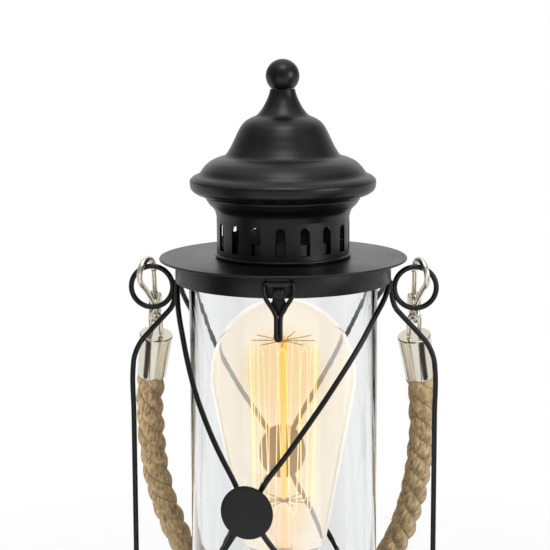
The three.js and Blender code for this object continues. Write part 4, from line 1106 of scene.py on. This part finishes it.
class LANTERN_OT_lid_fittings(bpy.types.Operator):
    """Roll the rear hinge, the front knuckle and the wire clasp"""

    bl_idname = "lantern.lid_fittings"
    bl_label = "Hinge and clasp"

    roll_r, bore, leaf_low = 2.1, 1.2, 1.3

    def execute(self, context):
        rear, front = (0, AXLE_Y, AXLE_Z), (0, -AXLE_Y, AXLE_Z)
        step, reach = 7.6, 3.2
        leafs = [moved(self.knuckle(7, reach), (s * step, 0, 0)) for s in (-1, 1)]
        bridge = self.strip(2 * step, 0.9, reach)
        piece("lid_leaf", [moved(p, rear) for p in (*leafs, bridge)], "lid_hinge_leaf", body="lid",
              crease=40)
        turn = about("X", -UPRIGHT) @ about("Y", math.pi)
        piece("band_leaf", [moved(self.knuckle(7, 7), rear, turn)], "band_hinge_leaf", crease=40)
        x = np.linspace(-11.1, 11.1, 5)
        pin = tube(np.c_[x, 0 * x, 0 * x], 0.9, 24, soft=0.4)
        piece("rear_pin", [moved(pin, rear)], "hinge_pin", "steel")
        knuckle = moved(self.knuckle(9, reach), front, about("Z", math.pi))
        piece("front_knuckle", [knuckle], "clasp_knuckle", body="lid", crease=40)
        loop = moved(tube(self.loop(), 0.92, 16), front, about("X", -math.radians(7.5)))
        piece("wire_clasp", [loop], "clasp_wire", body="clasp")
        return {"FINISHED"}

    def knuckle(self, width, leaf):
        """A strip rolled round an axle along X, and its leaf."""
        outer, inner = (arc((0, 0), r, 0, 360, 41)[:-1] for r in (self.roll_r, self.bore))
        h, ease = width / 2, 0.2
        eased = 1 - ease / self.roll_r
        rows = ((-h, outer, eased), (-h + ease, outer, 1), (h - ease, outer, 1), (h, outer, eased),
                (h, inner, 1), (-h, inner, 1))
        grid = np.stack([np.c_[np.full(len(p), x), p * k] for x, p, k in rows])
        return together(skin(grid, wrap_rows=True), self.strip(width, 0.4, leaf))

    def strip(self, width, near, far):
        """A flat leaf, 0.8 thick, from near to far along Y."""
        low, high = self.leaf_low, self.roll_r
        box = np.array([(near, low), (far, low), (far, high), (near, high)])
        h = width / 2
        grid = np.stack([np.c_[np.full(4, x), box] for x in (-h, h)])
        middle = box.mean(axis=0)
        return skin(grid, poles=((-h, *middle), (h, *middle)))

    def loop(self):
        """The clasp's wire: over the axle, down both sides, in a V and along a doubled stem."""
        half = np.array([
            (0.15, 0), (3.0, 0), (4.3, 0), (5.5, -0.3), (5.95, -1.3), (6.0, -2.8), (5.85, -4.4),
            (5.2, -6.2), (3.5, -8.9), (1.8, -11.6), (1.05, -13.4), (0.9, -15.0), (0.88, -16.5),
            (0.88, -18.5), (0.88, -20.5), (0.88, -22.2), (0.62, -22.85),
        ])
        return standing(through(np.vstack([half, [(0, -23.1)], half[::-1] * (-1, 1)]), 190))


def in_hook(across, down):
    """The right hook's plane to the handle's frame: across towards its outer leg, and down."""
    across, down = np.broadcast_arrays(across, down)
    c, s = math.cos(HOOK_TURN), math.sin(HOOK_TURN)
    return np.stack([PIVOT_X + across * c, -across * s, -down], axis=-1)


def hook_part(part, across, down):
    """A part modelled in XZ, with Y off the plane, set into the hook's plane."""
    return moved(part, in_hook(across, down), about("Z", -HOOK_TURN))


class LANTERN_OT_hooks(bpy.types.Operator):
    """Forge the snap hooks, their gates, the staples and the ferrules"""

    bl_idname = "lantern.hooks"
    bl_label = "Hooks and ferrules"

    def execute(self, context):
        for node, name, parts in (
            ("hook", "snap_hook", self.hook()), ("gate", "sprung_gate", self.gate()),
            ("gate_pin", "gate_rivet", [self.pin()]), ("staple", "wire_staple", [self.staple()]),
            ("ferrule", "rope_cup", [self.ferrule()]),
        ):
            finish = "nickel" if node == "ferrule" else "wire_nickel"
            for side in ("right", "left"):
                body = f"{side}_gate_arm" if node == "gate" else "handle"
                here = [handle_part(p if side == "right" else mirrored(p)) for p in parts]
                piece(f"{side}_{name}", here, f"{side}_{node}", finish, body)
        return {"FINISHED"}

    def hook(self):
        """The bight and its leg as one bent wire that swells at the crown, the eye, and the
        cheeks with the yoke between them."""
        a = np.pi - (np.pi + 0.6) * np.arange(10) / 9
        bight = np.c_[BIGHT_R * np.cos(a), BIGHT_R - BIGHT_CROWN - BIGHT_R * np.sin(a)]
        leg = [(2.4, 9.2), (-0.4, 13.2), (-2.9, 17.2), (-5.0, 21.3)]
        flat = through(np.vstack([bight, leg]), 120)
        k = np.linspace(0, 1, 120)
        wire, yoke_down = 1.2, 20.85
        swell = wire + 0.22 * np.exp(-((k - 0.22) / 0.13) ** 2)
        off = np.array([math.sin(HOOK_TURN), math.cos(HOOK_TURN), 0])
        body = tube(in_hook(flat[:, 0], flat[:, 1]), swell, 18, off, soft=0.5)
        t = ring_angles(48)
        round_eye = in_hook(EYE_ACROSS + EYE_R * np.cos(t), EYE_DOWN + EYE_R * np.sin(t))
        eye = tube(round_eye, wire, 16, off, closed=True)
        cheeks = [hook_part(self.cheek(side), *GATE_PIN) for side in (-1, 1)]
        yoke = slab([(-1.9, -2.4), (1.9, -2.4), (1.9, 2.4), (-1.9, 2.4)], 0.45, 0.15)
        return [body, eye, *cheeks, hook_part(yoke, EYE_ACROSS, yoke_down)]

    def cheek(self, side):
        """A rounded ear beside the gate: half a circle over a straight foot."""
        outline = np.vstack([arc((0, 0), 1.9, 0, 180, 24), [(-1.9, -4.9), (1.9, -4.9)]])
        return moved(slab(outline, 0.45, 0.15), (0, side * 1.95, 0), about("X", UPRIGHT))

    def gate(self):
        """A slim bar on its knuckle, thicker at the foot, rounded at the tip."""
        top = BIGHT_R - BIGHT_CROWN + SEAT_GAP + 0.55
        z = np.linspace(0, GATE_PIN[1] - top, 24)
        r = 1.1 + 0.25 * np.exp(-(z / 3.0) ** 2)
        bar = tube(np.c_[0 * z, 0 * z, z], r, 18, soft=0.4)
        side = [(0, -1.2), (1.7, -1.2), (1.9, -1.0), (1.9, 1.0), (1.7, 1.2), (0, 1.2)]
        knuckle = moved(turned(side, 36), turn=about("X", UPRIGHT))
        return [hook_part(p, *GATE_PIN) for p in (bar, knuckle)]

    def pin(self):
        """A rivet through the cheeks, with a low head on each side."""
        rivet = turned([(0, -2.95), (0.7, -2.9), (1.15, -2.65), (1.2, -2.45), (0.55, -2.4),
                        (0.55, 2.4), (1.2, 2.45), (1.15, 2.65), (0.7, 2.9), (0, 2.95)], 32)
        return hook_part(moved(rivet, turn=about("X", UPRIGHT)), *GATE_PIN)

    def staple(self):
        """A U of wire whose round top passes through the eye and whose feet stand on the cup."""
        half = 2.6
        rise = FERRULE_DROP - EYE_DOWN - half
        line = np.vstack([[(half, 0.15), (half, rise / 2)], arc((0, rise), half, 0, 180, 9),
                          [(-half, rise / 2), (-half, 0.15)]])
        flat = through(line, 72)
        s, c = math.sin(HOOK_TURN), math.cos(HOOK_TURN)
        wire = tube(np.c_[flat[:, 0] * s, flat[:, 0] * c, flat[:, 1]], 1.0, 16, (-c, s, 0))
        return moved(wire, (FERRULE_X, HANDLE_BACK, -FERRULE_DROP))

    def ferrule(self):
        """A tapered cup with a flat crown, an eased shoulder and a rolled mouth."""
        n = FERRULE_LENGTH
        profile = np.vstack([
            [(0, 0), (6.6, 0)], arc((6.7, -0.7), 0.7, 90, 3, 10),
            through([(7.4, -1.0), (7.15, -6), (6.85, -12), (6.55, -n + 0.9)], 26),
            arc((6.05, -n + 0.45), 0.45, 0, -180, 10), [(5.5, -n + 1.2), (5.5, -2.8), (0, -2.8)],
        ])
        return moved(turned(profile, 112), (FERRULE_X, HANDLE_BACK, -FERRULE_DROP),
                     about("Y", -FERRULE_SPLAY))


class LANTERN_OT_bulb(bpy.types.Operator):
    """Blow the bulb, wind its filament and set the lampholder under it"""

    bl_idname = "lantern.bulb"
    bl_label = "Bulb and lampholder"

    def execute(self, context):
        self.bowl()
        rod = [(0, 28.02), (1.1, 28.02), (1.1, 40), (1.25, 60), (1.5, 80), (1.6, 93), (1.5, 97.2),
               (1.6, 98.0), (1.2, 98.8), (0, 99)]
        foot = [(0, 0.3), (9, 0.3), (8.9, 1.2), (7.6, 3.0), (4.6, 5.0), (3.5, 7.0), (3.2, 14),
                (2.9, 22), (2.4, 25), (1.5, 26.6), (1.15, 28), (0, 28)]
        # painted glow: the glass rod and the stem's foot give off light through their finishes
        piece("bulb_rod", [turned(rod, 48, lift=BULB_Z)], "bulb_stem", "rod")
        piece("stem_foot", [turned(foot, 48, lift=BULB_Z)], None, "bulb")
        self.filament()
        for name, row, height in (("upper", 0, 97.4), ("lower", 1, 28.2)):
            self.supports(name, row, height)
        self.cap()
        self.holder()
        return {"FINISHED"}

    def bowl(self):
        """The bulb's wall: a smooth neck and a straight flank up to a round top, outside and
        inside, turned round from the outer pole down to the neck and up to the inner pole."""
        neck = [(13.0, 0), (13.0, 2.0), (13.1, 3.2), (14.3, 5.2), (16.6, 7.7), (18.25, 9.6)]
        slope = math.degrees(math.atan2(BULB_R - 18.25, BULB_WIDEST - 9.4))
        outer = np.vstack([through(neck, 26), arc((0, BULB_WIDEST), BULB_R, -slope, 90, 56)])
        outer[-1, 0] = 0.0
        inner = sheet_of(outer, BULB_WALL)[len(outer):]
        top = BULB_WIDEST + BULB_R
        profile = np.vstack([[(0, top)], outer[:-1][::-1], inner[1:][::-1], [(0, top - BULB_WALL)]])
        piece("bulb_bowl", [turned(profile, 160, lift=BULB_Z)], "bulb_glass", "bulb")

    def filament(self):
        """A wire led up and down between two rings of hooks. With u counting the runs, the height
        is a triangle wave with rounded tips, and the angle goes on by one step in every run, half
        of it evenly and half near the tips; the radius grows with the height."""
        u = np.linspace(0, FILAMENT_RUNS, FILAMENT_RUNS * 56 + 1)
        part = np.mod(u, 1)
        wave = np.abs(np.mod(u + 1, 2) - 1)
        tip = np.clip(np.minimum(part, 1 - part) / 0.03, 0, 1)
        ease = 0.012 * (1 - tip) ** 2
        share = np.clip(wave, 0, 1) * (1 - 2 * ease) + ease
        swing = 2 * part - 1
        late = np.clip((np.abs(swing) - 0.93) / 0.07, 0, 1) ** 0.7 * np.sign(swing)
        a = ROUND / FILAMENT_RUNS * (np.floor(u) + 0.5 + 0.2 * swing + 0.3 * late)
        a[-1] = ROUND
        z = FILAMENT_LOW + share * (FILAMENT_HIGH - FILAMENT_LOW)
        r = FILAMENT_R + share * FILAMENT_FLARE
        path = np.c_[r * np.sin(a), r * np.cos(a), z][3:-3]
        wire = tube(path, 0.22, 6, unit(path * (1, 1, 0)))
        piece("wound_filament", [moved(wire, (0, 0, BULB_Z))], "filament", "glow")

    def supports(self, name, first, height):
        """A ring of arms that rise a little towards their ends, one for every second run, and
        the hub that they stand on."""
        share = (height - FILAMENT_LOW) / (FILAMENT_HIGH - FILAMENT_LOW)
        reach = FILAMENT_R + share * FILAMENT_FLARE - 0.9
        q = np.linspace(1.0, reach, 6)
        z = height + 0.5 * (q / reach) ** 2
        turns = [ROUND * (run + 1) / FILAMENT_RUNS for run in range(first, FILAMENT_RUNS, 2)]
        arms = [tube(np.c_[q * np.sin(a), q * np.cos(a), z], 0.2, 8, (0, 0, 1)) for a in turns]
        side = [(1.2, -0.6), (2.0, -0.6), (2.2, -0.3), (2.2, 0.3), (2.0, 0.6), (1.2, 0.6)]
        hub = turned(side, 36, closes=True, lift=height)
        piece(f"{name}_arms", [moved(p, (0, 0, BULB_Z)) for p in (hub, *arms)],
              f"{name}_filament_support", "support")

    def cap(self):
        """The screw cap, whose radius waves with the thread's pitch, and its insulator."""
        low, high, pitch = 2.5, 19.5, 3.6
        z = np.linspace(low, high, 90)
        wave = 12.75 + 0.4 * np.cos(ROUND * (z - low) / pitch)
        profile = np.vstack([[(0, 0), (10.6, 0), (11.6, 0.9)], np.c_[wave, z],
                             [(12.9, 21.2), (12.8, 22), (0, 22)]])
        piece("screw_cap", [turned(profile, 96, lift=CAP_Z)], "bulb_cap", "brass")
        black = [(0, 0), (4.5, 0), (10.5, 2.2), (10.4, 2.4), (0, 2.4)]
        piece("cap_insulator", [turned(black, 64, lift=CAP_Z - 2.7)], "bulb_insulator", "resin")

    def holder(self):
        """The lampholder's moulded body and the cup at its foot."""
        body = np.vstack([
            [(5.3, 0), (11.6, 0)],
            through([(12, 0.4), (14.6, 3.4), (17.4, 7.2), (19.4, 10.8), (20, 13)], 22),
            [(20.0, 20.0), (19.4, 20.4), (19.4, 21.6), (20, 22.2), (20, 43.8)],
            arc((18.6, 44.1), 1.4, 0, 90, 8),
            [(14.4, 45.5), (14.4, 18), (3.7, 18), (3.7, 12.3), (5.3, 12.3)],
        ])
        piece("holder_shell_body", [turned(body, 112, closes=True, lift=HOLDER_Z)], "holder_body",
              "resin")
        line = np.vstack([
            [(20, 0), (20, 2.4)], through([(20, 3), (18.6, 5.4), (15.4, 8.6), (12.6, 11.2)], 20),
            [(11.6, 12), (5.3, 12)],
        ])
        cup = turned(sheet_of(line, 1.0), 112, closes=True, lift=DRUM_TOP)
        piece("holder_foot_cup", [cup], "holder_cup")


class LANTERN_OT_inner(bpy.types.Operator):
    """Give the carried-over inner parts their finishes"""

    bl_idname = "lantern.inner"
    bl_label = "Inner parts"

    def execute(self, context):
        for finish, nodes in (
            ("steel", ("ballast_plate", "nipple_nut", "finial_nut")),
            ("brass", ("nipple", "holder_shell", "holder_contact", "bulb_contact")),
        ):
            for node in nodes:
                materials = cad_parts[node].data.materials
                materials.clear()
                materials.append(FINISHES[finish])
        return {"FINISHED"}


class LANTERN_PT_pieces(bpy.types.Panel):
    """Lists the lamp's pieces and settings"""

    bl_idname = "LANTERN_PT_pieces"
    bl_label = "Lantern"
    bl_space_type = "VIEW_3D"
    bl_region_type = "UI"
    bl_category = "Lantern"

    def draw(self, context):
        for step in STEPS:
            self.layout.operator(step.bl_idname)
        for name in GROUPS:
            group = getattr(context.scene, name)
            for setting in group.__annotations__:
                self.layout.prop(group, setting)


STEPS = (
    LANTERN_OT_camera, LANTERN_OT_rope, LANTERN_OT_stage, LANTERN_OT_base, LANTERN_OT_glass,
    LANTERN_OT_cage, LANTERN_OT_roof, LANTERN_OT_lid_fittings, LANTERN_OT_hooks, LANTERN_OT_bulb,
    LANTERN_OT_inner,
)
GROUPS = {
    "lantern_finish": LanternFinish, "lantern_rope": LanternRope, "lantern_stage": LanternStage,
}
CLASSES = (*GROUPS.values(), *STEPS, LANTERN_PT_pieces)


def register():
    for item in CLASSES:
        bpy.utils.register_class(item)
    for name, group in GROUPS.items():
        setattr(bpy.types.Scene, name, bpy.props.PointerProperty(type=group))


def unregister():
    for name in GROUPS:
        delattr(bpy.types.Scene, name)
    for item in reversed(CLASSES):
        bpy.utils.unregister_class(item)


def main():
    register()
    make_finishes()
    bpy.ops.lantern.camera()
    bpy.ops.lantern.rope()
    bpy.ops.lantern.stage()
    bpy.ops.lantern.base()
    bpy.ops.lantern.glass()
    bpy.ops.lantern.cage()
    bpy.ops.lantern.roof()
    bpy.ops.lantern.lid_fittings()
    bpy.ops.lantern.hooks()
    bpy.ops.lantern.bulb()
    bpy.ops.lantern.inner()


if __name__ == "__main__":
    main()
